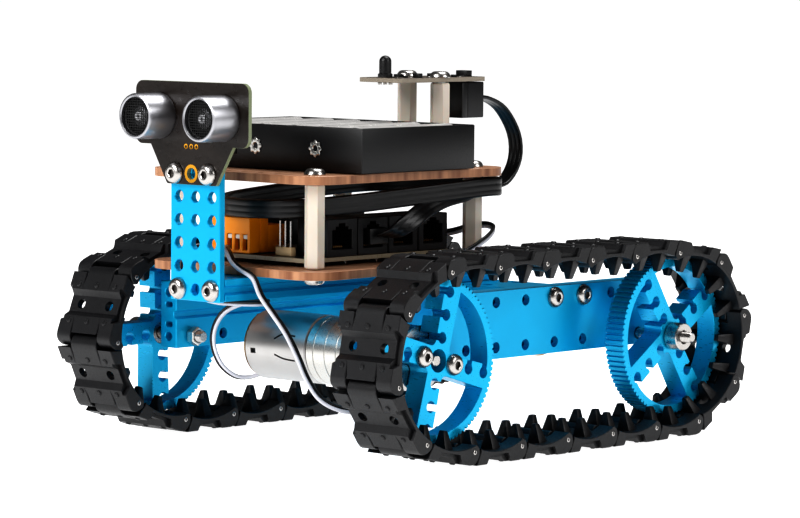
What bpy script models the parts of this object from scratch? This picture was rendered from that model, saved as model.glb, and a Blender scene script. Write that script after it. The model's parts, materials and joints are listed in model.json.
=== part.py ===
"""Tracked robot kit: perforated beams, two link tracks on toothed pulleys and two acrylic decks.

Lengths are in millimetres in the functions' arguments, and MM turns them into Blender's metres.
X runs across the machine (+X is its left side), -Y is its front and Z is up. The machine's own
datum lies on the ground, midway between the axles.
"""
import math

import bmesh
import bpy
from mathutils import Matrix, Vector

MM = 0.001

# Driving dimensions, mm
GRID = 8.0                      # hole grid of the kit
HOLE_R = 2.0                    # M4 clearance hole
GAP = 0.3                       # air between neighbouring solids
BEAM_T, BEAM_H, BEAM_L = 8.0, 24.0, 144.0
BEAM_IN = 48.0                  # inner face of a side beam
BEAM_Z = 32.5                   # underside of the side beams
AXLE_Y = 64.0                   # axles lie at -AXLE_Y and +AXLE_Y
AXLE_Z = 36.5
AXLE_HOLE_R = 2.3
PULLEY_R, PULLEY_W = 28.85, 8.0
RIM_IN = 25.4
TRACK_X, TRACK_W = 67.75, 28.4
PIN_R = 31.3                    # radius of the track pins about the axles
LINKS = 18
PAD_H = AXLE_Z - PIN_R          # grouser pads stand this far outside the pin line
CENTRE_BEAM_Z = 55.3
DECK_T = 3.0
BASE_DECK_Z = 63.0
STANDOFF_L = 30.0
UPPER_DECK_Z = BASE_DECK_Z + DECK_T + STANDOFF_L
STANDOFF_R = 4.1
STANDOFF_X = 32.0
STANDOFF_FRONT, STANDOFF_REAR = -84.0, -2.0
PLATE_FRONT, PLATE_T = -110.0, 2.7
PLATE_Z, PLATE_H = 55.0, 48.0
TRAY_LOW = (-46.0, -73.2, UPPER_DECK_Z + DECK_T + GAP)
TRAY_HIGH = (44.0, -14.6, UPPER_DECK_Z + DECK_T + 15.9)
TRAY_WALL = 1.4
CELL_R, CELL_L, CELL_STEP = 7.1, 50.5, 14.5
BOARD_FRONT = -111.9            # front face of the ultrasonic board
EYE_X, EYE_Z, EYE_R, EYE_L = 15.5, 118.5, 8.0, 12.0
MOTOR_R, MOTOR_REAR, MOTOR_FRONT, GEARBOX_FRONT = 12.2, -10.0, 20.0, 41.0
SHAFT_R = 2.0

for old in list(bpy.data.objects):
    bpy.data.objects.remove(old, do_unlink=True)
parts = bpy.data.collections.new("tracked_robot")
cutters = bpy.data.collections.new("cutters")
bpy.context.scene.collection.children.link(parts)
bpy.context.scene.collection.children.link(cutters)
machine = bpy.data.objects.new("machine_datum", None)
parts.objects.link(machine)

# Local axes of a flat outline: its x, its y and its thickness
ACROSS = Matrix(((0, 0, 1, 0), (1, 0, 0, 0), (0, 1, 0, 0), (0, 0, 0, 1)))   # (Y, Z) outline, thick in X
FRONTAL = Matrix(((1, 0, 0, 0), (0, 0, -1, 0), (0, 1, 0, 0), (0, 0, 0, 1)))  # (X, Z) outline, thick in Y
LEVEL = Matrix.Identity(4)                                                   # (X, Y) outline, thick in Z


def finish(name, rgb, roughness, metallic=0.0):
    """One Principled material."""
    made = bpy.data.materials.new(name)
    made.use_nodes = True
    shader = made.node_tree.nodes["Principled BSDF"]
    shader.inputs["Base Color"].default_value = (*rgb, 1.0)
    shader.inputs["Roughness"].default_value = roughness
    shader.inputs["Metallic"].default_value = metallic
    return made


BLUE = finish("blue_anodised", (0.01, 0.33, 0.72), 0.35, 0.7)
RUBBER = finish("black_track", (0.02, 0.02, 0.022), 0.55)
NYLON = finish("cream_nylon", (0.78, 0.74, 0.64), 0.5)
ACRYLIC = finish("brown_acrylic", (0.42, 0.24, 0.13), 0.3)
STEEL = finish("steel", (0.62, 0.61, 0.59), 0.25, 1.0)
CASE = finish("black_case", (0.012, 0.012, 0.014), 0.4)
BOARD = finish("black_board", (0.02, 0.02, 0.022), 0.35)
ORANGE = finish("orange_terminal", (0.95, 0.36, 0.02), 0.4)
CELL = finish("cell_sleeve", (0.55, 0.56, 0.58), 0.35, 0.4)
LEAD = finish("cable_black", (0.015, 0.015, 0.017), 0.4)


def place(name, mesh, material, turn=LEVEL, at=(0, 0, 0)):
    """A named part in the machine's frame, its origin at the point `at`."""
    mesh.name = name
    mesh.materials.clear()
    mesh.materials.append(material)
    made = bpy.data.objects.new(name, mesh)
    parts.objects.link(made)
    made.parent = machine
    made.matrix_local = Matrix.Translation(Vector(at) * MM) @ turn
    return made


def smooth(made, degrees=35):
    made.data.shade_smooth()
    made.data.set_sharp_from_angle(angle=math.radians(degrees))
    return made


def box(name, low, high, material, bevel=0.0):
    bm = bmesh.new()
    bmesh.ops.create_cube(bm, size=1.0)
    size = Vector(high) - Vector(low)
    bmesh.ops.scale(bm, vec=size * MM, verts=bm.verts)
    mesh = bpy.data.meshes.new(name)
    bm.to_mesh(mesh)
    bm.free()
    made = place(name, mesh, material, at=(Vector(low) + Vector(high)) / 2)
    if bevel:
        edge = made.modifiers.new("rounded_edges", "BEVEL")
        edge.width = bevel * MM
        edge.segments = 2
    return made


def rod(name, start, end, radius, material, sides=24, at=(0, 0, 0), axis="X", bevel=0.0):
    """A cylinder along an axis through `at`, from start to end measured along it."""
    bm = bmesh.new()
    bmesh.ops.create_cone(bm, cap_ends=True, segments=sides, radius1=radius * MM, radius2=radius * MM,
                          depth=(end - start) * MM)
    bmesh.ops.translate(bm, verts=bm.verts, vec=(0, 0, (start + end) / 2 * MM))
    if axis != "Z":
        turn = Matrix.Rotation(math.pi / 2, 4, "Y" if axis == "X" else "X")
        if axis == "Y":
            turn.invert()
        bmesh.ops.transform(bm, matrix=turn, verts=bm.verts)
    mesh = bpy.data.meshes.new(name)
    bm.to_mesh(mesh)
    bm.free()
    made = place(name, mesh, material, at=at)
    if bevel:
        edge = made.modifiers.new("chamfer", "BEVEL")
        edge.width = bevel * MM
        edge.segments = 1
        edge.limit_method = "ANGLE"
    return smooth(made)


def curve_mesh(name, curve):
    """The evaluated curve as a mesh with its caps welded."""
    holder = bpy.data.objects.new(name, curve)
    bpy.context.scene.collection.objects.link(holder)
    bpy.context.view_layer.update()
    evaluated = holder.evaluated_get(bpy.context.evaluated_depsgraph_get())
    mesh = bpy.data.meshes.new_from_object(evaluated)
    bm = bmesh.new()
    bm.from_mesh(mesh)
    bmesh.ops.remove_doubles(bm, verts=bm.verts, dist=0.00001)
    bmesh.ops.recalc_face_normals(bm, faces=bm.faces)
    bm.to_mesh(mesh)
    bm.free()
    bpy.data.objects.remove(holder, do_unlink=True)
    bpy.data.curves.remove(curve)
    return mesh


def flat(name, outlines, low, high, material, turn=LEVEL, at=(0, 0, 0)):
    """A flat piece: the first outline is its edge, the others are its openings."""
    curve = bpy.data.curves.new(name, "CURVE")
    curve.dimensions = "2D"
    curve.fill_mode = "BOTH"
    curve.extrude = (high - low) / 2 * MM
    for outline in outlines:
        spline = curve.splines.new("POLY")
        spline.points.add(len(outline) - 1)
        for point, (across, along) in zip(spline.points, outline):
            point.co = (across * MM, along * MM, 0.0, 1.0)
        spline.use_cyclic_u = True
    mesh = curve_mesh(name, curve)
    mesh.transform(Matrix.Translation((0, 0, (low + high) / 2 * MM)))
    return smooth(place(name, mesh, material, turn, at), 30)


def unite(target, *others):
    """Join overlapping pieces into one body."""
    for other in others:
        other.hide_render = True
        other.display_type = "WIRE"
        parts.objects.unlink(other)
        cutters.objects.link(other)
        union = target.modifiers.new("join_" + other.name, "BOOLEAN")
        union.operation = "UNION"
        union.solver = "EXACT"
        union.object = other
    return target


def hollow(target, low, high):
    """Cut a box-shaped hollow."""
    tool = box(target.name + "_hollow", low, high, CASE)
    tool.hide_render = True
    tool.display_type = "WIRE"
    parts.objects.unlink(tool)
    cutters.objects.link(tool)
    cut = target.modifiers.new("hollow", "BOOLEAN")
    cut.operation = "DIFFERENCE"
    cut.solver = "EXACT"
    cut.object = tool
    return target


def circle(centre, radius, sides=8, first=0.0):
    turns = [first + 2 * math.pi * k / sides for k in range(sides)]
    return [(centre[0] + radius * math.cos(t), centre[1] + radius * math.sin(t)) for t in turns]


def arc(centre, radius, first, last, steps):
    """Points of an arc between two angles in degrees, both ends included."""
    turns = [math.radians(first + (last - first) * k / steps) for k in range(steps + 1)]
    return [(centre[0] + radius * math.cos(t), centre[1] + radius * math.sin(t)) for t in turns]


def rectangle(low, high):
    return [low, (high[0], low[1]), high, (low[0], high[1])]


def tube(name, route, radius, material, spacing=7.0):
    """A round cable through the route's points, read from a smooth curve."""
    points = smooth_route(route, spacing)
    curve = bpy.data.curves.new(name, "CURVE")
    curve.dimensions = "3D"
    curve.bevel_depth = radius * MM
    curve.bevel_resolution = 2
    curve.use_fill_caps = True
    spline = curve.splines.new("POLY")
    spline.points.add(len(points) - 1)
    for point, place_mm in zip(spline.points, points):
        point.co = (*(place_mm * MM), 1.0)
    return smooth(place(name, curve_mesh(name, curve), material), 50)


def smooth_route(route, spacing, closed=False):
    """Catmull-Rom points through the route, about `spacing` apart."""
    knots = [Vector(p) for p in route]
    count = len(knots)
    spans = count if closed else count - 1
    points = []
    for k in range(spans):
        if closed:
            before, start, end, after = (knots[(k + j) % count] for j in (-1, 0, 1, 2))
        else:
            start, end = knots[k], knots[k + 1]
            before = knots[k - 1] if k else start * 2 - end
            after = knots[k + 2] if k + 2 < count else end * 2 - start
        steps = max(1, round((end - start).length / spacing))
        for step in range(steps):
            t = step / steps
            points.append(0.5 * (2 * start + (end - before) * t
                                 + (2 * before - 5 * start + 4 * end - after) * t ** 2
                                 + (3 * start - before - 3 * end + after) * t ** 3))
    if not closed:
        points.append(knots[-1])
    return points


# ---- frame of perforated beams ------------------------------------------------------------------

def side_beam(name, side):
    holes = []
    for k in range(-4, 5):
        y = 2 * GRID * k
        on_axle = abs(abs(y) - AXLE_Y) < 0.1
        holes.append(circle((y, AXLE_Z), AXLE_HOLE_R if on_axle else HOLE_R))
        holes.append(circle((y, AXLE_Z + 2 * GRID), HOLE_R))
    edge = rectangle((-BEAM_L / 2, BEAM_Z), (BEAM_L / 2, BEAM_Z + BEAM_H))
    low, high = sorted((side * BEAM_IN, side * (BEAM_IN + BEAM_T)))
    return flat(name, [edge] + holes, low, high, BLUE, ACROSS)


side_beam("left_side_beam", 1)
side_beam("right_side_beam", -1)
box("cross_beam", (-BEAM_IN + GAP, 12, 48.5), (BEAM_IN - GAP, 36, CENTRE_BEAM_Z - GAP), BLUE, 0.4)
box("centre_beam", (-12, PLATE_FRONT + PLATE_T + GAP, CENTRE_BEAM_Z), (12, 36, BASE_DECK_Z), BLUE, 0.4)

plate_holes = [circle((GRID * column, PLATE_Z + 4 + GRID * row), HOLE_R)
               for column in (-1, 0, 1) for row in range(6)]
flat("sensor_plate", [rectangle((-12, PLATE_Z), (12, PLATE_Z + PLATE_H))] + plate_holes,
     -(PLATE_FRONT + PLATE_T), -PLATE_FRONT, BLUE, FRONTAL)


# ---- decks and standoffs ------------------------------------------------------------------------

def deck_outline(lobe=10.3, waist=1.8):
    """Rounded lobes about the four standoffs, with the sides drawn in a little between them."""
    corners = ((1, STANDOFF_REAR, 0), (-1, STANDOFF_REAR, 90), (-1, STANDOFF_FRONT, 180),
               (1, STANDOFF_FRONT, 270))
    points = []
    middle_y = (STANDOFF_FRONT + STANDOFF_REAR) / 2
    reach_x, reach_y = STANDOFF_X + lobe - waist, (STANDOFF_REAR - STANDOFF_FRONT) / 2 + lobe - waist
    for side, y, first in corners:
        points += arc((side * STANDOFF_X, y), lobe, first, first + 90, 6)
        turn = math.radians(first + 90)
        points.append((reach_x * math.cos(turn), middle_y + reach_y * math.sin(turn)))
    return points


def deck(name, z):
    holes = [circle((side * STANDOFF_X, y), HOLE_R, 8) for side in (-1, 1)
             for y in (STANDOFF_FRONT, STANDOFF_REAR)]
    return flat(name, [deck_outline()] + holes, z, z + DECK_T, ACRYLIC)


deck("base_deck", BASE_DECK_Z + GAP)
deck("upper_deck", UPPER_DECK_Z)
for side, side_name in ((1, "left"), (-1, "right")):
    for y, end_name in ((STANDOFF_FRONT, "front"), (STANDOFF_REAR, "rear")):
        rod(f"{end_name}_{side_name}_standoff", BASE_DECK_Z + DECK_T + 2 * GAP, UPPER_DECK_Z - GAP,
            STANDOFF_R, NYLON, 6, at=(side * STANDOFF_X, y, 0), axis="Z")

# ---- battery tray and its six cells -------------------------------------------------------------

tray = box("battery_tray", TRAY_LOW, TRAY_HIGH, CASE)
hollow(tray, tuple(TRAY_LOW[k] + TRAY_WALL for k in range(3)),
       (TRAY_HIGH[0] - TRAY_WALL, TRAY_HIGH[1] - TRAY_WALL, TRAY_HIGH[2] + 5))
cells_mid = (TRAY_LOW[0] + TRAY_HIGH[0]) / 2
cell_y = (TRAY_LOW[1] + TRAY_HIGH[1]) / 2
for k in range(6):
    rod(f"battery_cell_{k + 1}", -CELL_L / 2, CELL_L / 2, CELL_R, CELL, 16, axis="Y",
        at=(cells_mid + (k - 2.5) * CELL_STEP, cell_y, TRAY_LOW[2] + TRAY_WALL + GAP + CELL_R))

# ---- ultrasonic sensor on the front plate -------------------------------------------------------

board_side = arc((24.3, 127.3), 3.2, 0, 90, 3)
board_half = [(12.3, 95.2), (20.0, 108.6)] + arc((24.3, 111.8), 3.2, 270, 360, 3) + board_side
board_edge = board_half + [(-x, z) for x, z in reversed(board_half)]
board_holes = [circle((side * GRID, PLATE_Z + 4 + 5 * GRID), HOLE_R) for side in (-1, 1)]
flat("ultrasonic_board", [board_edge] + board_holes, -BOARD_FRONT - 1.6, -BOARD_FRONT, BOARD, FRONTAL)
for side, side_name in ((1, "left"), (-1, "right")):
    eye_ring = [circle((0, 0), EYE_R, 20), circle((0, 0), EYE_R - 1.4, 20)]
    eye = flat(f"{side_name}_ultrasonic_eye", eye_ring, 3.0, EYE_L, STEEL, FRONTAL,
               at=(side * EYE_X, BOARD_FRONT - GAP, EYE_Z))
    back = rod(f"{side_name}_eye_back", -4.0, 0.0, EYE_R - 0.4, STEEL, 20,
               at=(side * EYE_X, BOARD_FRONT - GAP, EYE_Z), axis="Y")
    unite(eye, back)
box("ultrasonic_socket", (-7.5, -110.0, 105.5), (7.5, -96.8, 118.7), CASE, 0.4)

# ---- infrared receiver board above the battery tray ---------------------------------------------

ir_deck = UPPER_DECK_Z + DECK_T
ir_board_z = ir_deck + STANDOFF_L
for x, side_name in ((2 * GRID, "left"), (0, "right")):
    rod(f"{side_name}_ir_standoff", ir_deck + GAP, ir_board_z - GAP, STANDOFF_R, NYLON, 6,
        at=(x, STANDOFF_REAR, 0), axis="Z")
box("ir_board", (-2.5, -25.5, ir_board_z), (18.5, 20.5, ir_board_z + 1.6), BOARD, 0.3)
box("ir_socket", (2.6, 8.4, ir_board_z - GAP - 13.0), (17.6, 20.3, ir_board_z - GAP), CASE, 0.4)
rod("ir_receiver", ir_board_z + 1.9, ir_board_z + 9.6, 2.7, CASE, 16, at=(8, -22.6, 0), axis="Z", bevel=1.2)

# ---- controller on the base deck ----------------------------------------------------------------

board_z = BASE_DECK_Z + 5.0
box("control_board", (-27, -82, board_z), (27, -8, board_z + 1.6), BOARD, 0.3)
seat = board_z + 1.6 + GAP
box("motor_terminal", (-25, -82.3, seat), (-1, -64, 82.4), ORANGE, 0.6)
box("left_socket_row", (13, -73, seat), (27.5, -10, 82.8), CASE, 0.4)
box("right_socket_row", (-27.5, -60, seat), (-13, -10, 82.8), CASE, 0.4)
box("power_switch", (-3.0, -14, seat), (1.0, -9, seat + 4.0), CASE, 0.3)


# ---- motors, brackets and hubs ------------------------------------------------------------------

def motor_unit(side, side_name):
    """A gearmotor: the left one drives the front pulley, the right one the rear pulley."""
    at = (0, -side * AXLE_Y, AXLE_Z)

    def along(name, start, end, radius, material, **more):
        low, high = sorted((side * start, side * end))
        return rod(name, low, high, radius, material, at=at, **more)

    along(f"{side_name}_motor", MOTOR_REAR, MOTOR_FRONT, MOTOR_R, STEEL, sides=32, bevel=1.0)
    along(f"{side_name}_gearbox", MOTOR_FRONT + GAP, GEARBOX_FRONT, MOTOR_R, STEEL, sides=32, bevel=0.5)
    low, high = sorted((side * (GEARBOX_FRONT + GAP), side * (GEARBOX_FRONT + 3)))
    wide = 13.0
    face = rectangle((-wide, -wide), (wide, 19.7))
    bracket = flat(f"{side_name}_motor_bracket", [face, circle((0, 0), 4.0, 16)], low, high, BLUE, ACROSS, at)
    foot_x = sorted((side * (GEARBOX_FRONT + 2), side * (BEAM_IN - GAP)))
    foot = box(f"{side_name}_bracket_foot", (foot_x[0], at[1] - 11.5, AXLE_Z + 8.5),
               (foot_x[1], at[1] + 11.5, AXLE_Z + 19.2), BLUE)
    unite(bracket, foot)
    flange_x = TRACK_X - PULLEY_W / 2 - GAP
    shaft = along(f"{side_name}_drive_hub", GEARBOX_FRONT + GAP, TRACK_X + PULLEY_W / 2 - 0.8, SHAFT_R, STEEL,
                  sides=16)
    flange = along(f"{side_name}_hub_flange", flange_x - 6, flange_x, 11.5, STEEL, sides=24)
    unite(shaft, flange)


def pulley_outlines():
    """Rim, four windows and centre hole; keyholes open each spoke towards its next window."""
    tooth_side, smooth_side, slot = 3.0, 4.6, 1.2
    mouth = math.degrees(math.asin(math.sqrt(HOLE_R ** 2 - slot ** 2) / HOLE_R))
    window = [(smooth_side, tooth_side)]
    for k in (1, 2, 3):
        window.append((GRID * k - slot, tooth_side))
        window += arc((GRID * k, 0), HOLE_R, 180 - mouth, 360 + mouth, 5)
        window.append((GRID * k + slot, tooth_side))
    first = math.degrees(math.asin(tooth_side / RIM_IN)) + 2
    last = math.degrees(math.acos(smooth_side / RIM_IN))
    window += arc((0, 0), RIM_IN, first, last, 5)
    loops = [circle((0, 0), PULLEY_R, 44), circle((0, 0), 4.0, 12)]
    for quarter in range(4):
        c, s = math.cos(quarter * math.pi / 2), math.sin(quarter * math.pi / 2)
        loops.append([(x * c - y * s, x * s + y * c) for x, y in window])
    return loops


def pulley(name, side, y, turn):
    """A pulley whose spokes are turned by `turn` about its axle."""
    low, high = sorted((side * (TRACK_X - PULLEY_W / 2), side * (TRACK_X + PULLEY_W / 2)))
    loops = [[(x * math.cos(turn) - z * math.sin(turn), x * math.sin(turn) + z * math.cos(turn))
              for x, z in loop] for loop in pulley_outlines()]
    return flat(name, loops, low, high, BLUE, ACROSS, (0, y, AXLE_Z))


def idler(side, side_name):
    """Idler pulley on its bearing, the fixed axle, its nut and its collar."""
    at = (0, side * AXLE_Y, AXLE_Z)
    half = PULLEY_W / 2
    edges = sorted((side * (TRACK_X - half + 0.5), side * (TRACK_X + half - 0.5)))
    flat(f"{side_name}_idler_bearing", [circle((0, 0), 3.7, 16), circle((0, 0), AXLE_HOLE_R, 12)],
         edges[0], edges[1], STEEL, ACROSS, at)
    low, high = sorted((side * (BEAM_IN - 6.0), side * (TRACK_X + 13.6)))
    rod(f"{side_name}_idler_axle", low, high, SHAFT_R, STEEL, 12, at=at)
    low, high = sorted((side * (BEAM_IN - 3.5), side * (BEAM_IN - GAP)))
    flat(f"{side_name}_axle_nut", [circle((0, 0), 4.0, 6), circle((0, 0), AXLE_HOLE_R, 12)], low, high,
         STEEL, ACROSS, at)
    low, high = sorted((side * (TRACK_X + half + GAP), side * (TRACK_X + half + 5.8)))
    flat(f"{side_name}_axle_collar", [circle((0, 0), 5.0, 20), circle((0, 0), AXLE_HOLE_R, 12)], low, high,
         STEEL, ACROSS, at)


motor_unit(1, "left")
motor_unit(-1, "right")
idler(1, "left")
idler(-1, "right")
pulley("left_drive_pulley", 1, -AXLE_Y, -0.24)
pulley("left_idler_pulley", 1, AXLE_Y, 2.19)
pulley("right_drive_pulley", -1, AXLE_Y, 0.60)
pulley("right_idler_pulley", -1, -AXLE_Y, 0.04)


# ---- tracks -------------------------------------------------------------------------------------

PATH_LENGTH = 4 * AXLE_Y + 2 * math.pi * PIN_R


def pin_line(s):
    """Point (y, z) of the pin line at the distance s along it, from under the front axle."""
    straight, bend = 2 * AXLE_Y, math.pi * PIN_R
    s %= PATH_LENGTH
    if s < straight:
        return Vector((s - AXLE_Y, AXLE_Z - PIN_R))
    if s < straight + bend:
        turn = (s - straight) / PIN_R - math.pi / 2
        return Vector((AXLE_Y + PIN_R * math.cos(turn), AXLE_Z + PIN_R * math.sin(turn)))
    if s < 2 * straight + bend:
        return Vector((AXLE_Y - (s - straight - bend), AXLE_Z + PIN_R))
    turn = (s - 2 * straight - bend) / PIN_R + math.pi / 2
    return Vector((-AXLE_Y + PIN_R * math.cos(turn), AXLE_Z + PIN_R * math.sin(turn)))


def bisect(is_low, low, high, rounds=40):
    for _ in range(rounds):
        middle = (low + high) / 2
        if is_low(middle):
            low = middle
        else:
            high = middle
    return (low + high) / 2


def march(pitch, start):
    """Distances along the pin line of LINKS + 1 pins that are one pitch apart."""
    places = [start]
    for _ in range(LINKS):
        here = places[-1]
        point = pin_line(here)
        places.append(bisect(lambda s: (pin_line(s) - point).length < pitch, here, here + 1.5 * pitch))
    return places


def pins(first_y):
    """The pins of a closed track whose first pin is at first_y on the ground run, and the pitch."""
    start = first_y + AXLE_Y
    pitch = bisect(lambda p: march(p, start)[-1] < start + PATH_LENGTH,
                   0.9 * PATH_LENGTH / LINKS, 1.05 * PATH_LENGTH / LINKS)
    return [pin_line(s) for s in march(pitch, start)[:-1]], pitch


def link_loop(pin_points, profile):
    """Follow a profile of (fraction of the link, height outside the pin line) round the track."""
    loop = []
    for k, start in enumerate(pin_points):
        end = pin_points[(k + 1) % LINKS]
        along = end - start
        outward = Vector((along.y, -along.x)).normalized()
        loop += [tuple(start + along * u + outward * h) for u, h in profile]
    return loop


HORN_SPANS = ((0.10, 0.40), (0.60, 0.90))       # along a link
HORN_NEAR, HORN_FAR, HORN_TALL = 4.5, 9.1, 6.8  # from the track's middle, and height


def add_horns(mesh, middle, horn_spots):
    """Grow two rows of tapered guide horns from the inner surface, at the spots (y, z)."""
    bm = bmesh.new()
    bm.from_mesh(mesh)

    def is_inner(face):
        spot = face.calc_center_median().xy / MM
        spine = Vector((max(-AXLE_Y, min(AXLE_Y, spot.x)), AXLE_Z))
        return abs(face.normal.z) < 0.1 and (spot - spine).dot(face.normal.xy) < 0

    for offset in (-HORN_FAR, -HORN_NEAR, HORN_NEAR, HORN_FAR):
        inner = [face for face in bm.faces if is_inner(face)]
        edges = {edge for face in inner for edge in face.edges}
        verts = {vert for face in inner for vert in face.verts}
        bmesh.ops.bisect_plane(bm, geom=inner + list(edges) + list(verts), dist=0.000001,
                               plane_co=(0, 0, (middle + offset) * MM), plane_no=(0, 0, 1))
    bases = []
    for face in bm.faces:
        spot = face.calc_center_median() / MM
        row = abs(spot.z - middle)
        if is_inner(face) and HORN_NEAR < row < HORN_FAR:
            if min((spot.xy - horn).length for horn in horn_spots) < 1.0:
                bases.append(face)
    tips = bmesh.ops.extrude_discrete_faces(bm, faces=bases)["faces"]
    for tip in tips:
        middle_point = tip.calc_center_median()
        inward = tip.normal.copy()
        for vert in tip.verts:
            offset = vert.co - middle_point
            across = Vector((0, 0, offset.z))
            vert.co = middle_point + (offset - across) * 0.45 + across * 0.72 + inward * HORN_TALL * MM
    bm.to_mesh(mesh)
    bm.free()


def track(name, side, first_y):
    """Band of rigid links with grouser pads outside and two rows of guide horns inside."""
    pin_points, pitch = pins(first_y)
    chord = math.sqrt(PIN_R ** 2 - (pitch / 2) ** 2)
    bore = PULLEY_R + 0.4

    def inner(u):
        return math.sqrt(bore ** 2 - (pitch * (u - 0.5)) ** 2) - chord

    outside = [(0.04, PAD_H), (0.30, PAD_H), (0.38, PAD_H - 1.9), (0.62, PAD_H - 1.9), (0.70, PAD_H),
               (0.96, PAD_H), (1.0, PAD_H - 2.4)]
    inside = [(u, inner(u)) for u in (0.02, *HORN_SPANS[0], *HORN_SPANS[1], 0.98)]
    low, high = sorted((side * (TRACK_X - TRACK_W / 2), side * (TRACK_X + TRACK_W / 2)))
    band = flat(name, [link_loop(pin_points, outside), link_loop(pin_points, inside)], low, high, RUBBER,
                ACROSS)
    middles = [(sum(span) / 2, (inner(span[0]) + inner(span[1])) / 2) for span in HORN_SPANS]
    horn_spots = [Vector(spot) for spot in link_loop(pin_points, middles)]
    add_horns(band.data, side * TRACK_X, horn_spots)
    return smooth(band, 30)


track("left_track", 1, -56.0)
track("right_track", -1, -61.2)

# ---- cables -------------------------------------------------------------------------------------

# Hoop of spare flat cable under the upper deck, as one ring of the coil's outer shape
HOOP = ((38.7, -6, 92.0), (37.0, 5, 92.0), (22, 10.2, 92.0), (0, 7.2, 91.8), (-20, 3.2, 91.0),
        (-25.3, -12, 90.2), (-26.5, -38, 88.6), (-24.5, -66, 86.8), (-13, -81, 86.2), (4, -86, 86.2),
        (19, -80, 86.6), (27.3, -62, 87.8), (33, -36, 89.8))
hoop_curve = bpy.data.curves.new("cable_hoop", "CURVE")
hoop_curve.dimensions = "3D"
hoop_curve.twist_mode = "Z_UP"
hoop_curve.bevel_depth = 1.6 * MM
hoop_curve.bevel_resolution = 0
hoop_curve.extrude = 1.7 * MM
hoop_points = smooth_route(HOOP, 9.0, closed=True)
hoop_spline = hoop_curve.splines.new("POLY")
hoop_spline.points.add(len(hoop_points) - 1)
for hoop_point, place_mm in zip(hoop_spline.points, hoop_points):
    hoop_point.co = (*(place_mm * MM), 1.0)
hoop_spline.use_cyclic_u = True
smooth(place("cable_hoop", curve_mesh("cable_hoop", hoop_curve), LEAD), 50)

tube("ir_cable", ((10, 21.1, 122.5), (10, 28, 122.6), (10.2, 38, 118.5), (10.5, 45.5, 109), (10.8, 46, 99.5),
                  (11, 40, 91.8), (11, 30, 88.4), (11, 17, 88.2), (10.6, 12.6, 89.5)), 1.6, LEAD)
tube("socket_cable", ((36.2, -31, 85.6), (37.2, -37, 83.4), (36.4, -43, 79.8), (33.6, -46.5, 77.2),
                      (29.9, -47.5, 76.4)), 1.5, LEAD, 4.0)
tube("left_motor_lead", ((-20, -84.2, 72), (-20.4, -90, 71.6), (-20.5, -96.2, 68.6), (-19.6, -97.4, 62),
                         (-17, -93.5, 55.6), (-12, -88.5, 52.9), (-5, -84, 52.4), (0.6, -80, 52.4),
                         (0.4, -74.6, 52.4), (-5.5, -73.2, 52.3), (-12, -75.2, 51.4), (-17.5, -78, 48.2),
                         (-20.3, -80, 42.8), (-20.8, -80.3, 36.5), (-18.8, -78.6, 29.6), (-16.4, -74, 25.2),
                         (-14.6, -68.6, 24.4), (-11.8, -65.4, 25.6)), 1.3, LEAD, 5.0)
tube("right_motor_lead", ((-9.5, -84.2, 72), (-6.5, -88.4, 72), (-1, -92.6, 70.8), (4, -95.6, 68.2),
                          (8.5, -96.6, 66), (14.8, -96.4, 63.2), (17.6, -95.4, 57.2), (21.6, -93.4, 51),
                          (26.4, -91.8, 44.4), (31, -90.8, 36.6), (35, -90, 28.8), (39.4, -87.6, 22.2),
                          (43.6, -80, 18.4), (44.6, -66, 17.8), (44.8, -52, 19.8), (45, -44, 25.6),
                          (45.3, -37, 32.6), (45.4, -28, 38.2), (45.4, -14, 41.2), (45, 4, 42.4),
                          (43, 22, 42), (37, 36, 39.8), (28, 47, 36.6), (20, 55.6, 33), (14.6, 61.2, 29),
                          (11.8, 63.4, 26.4)), 1.3, LEAD, 6.0)

tube("battery_lead", ((20.5, -6.6, 74.6), (24, -2.5, 75.5), (26.5, 3.2, 77), (31, 6.2, 77.8), (36.5, 4.6, 77),
                      (39.6, -1, 74.8), (41.2, -8, 72.4), (42.3, -14, 70.6), (42.2, -19, 69.3),
                      (38.5, -24, 68.4), (33, -27.5, 68.2)), 1.3, LEAD, 4.0)


# ---- put the datum so that the model's origin is the centre of its footprint --------------------

def centre_footprint():
    bpy.context.view_layer.update()
    graph = bpy.context.evaluated_depsgraph_get()
    ends = []
    for made in parts.objects:
        if made.type == "MESH":
            for corner in made.evaluated_get(graph).bound_box:
                ends.append((made.matrix_world @ Vector(corner)).y)
    machine.location.y = -(min(ends) + max(ends)) / 2


centre_footprint()
bpy.context.view_layer.update()
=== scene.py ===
import json
from math import acos, asin, cos, degrees, pi, radians, sin, sqrt

import bmesh
import bpy
from mathutils import Matrix, Vector


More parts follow.
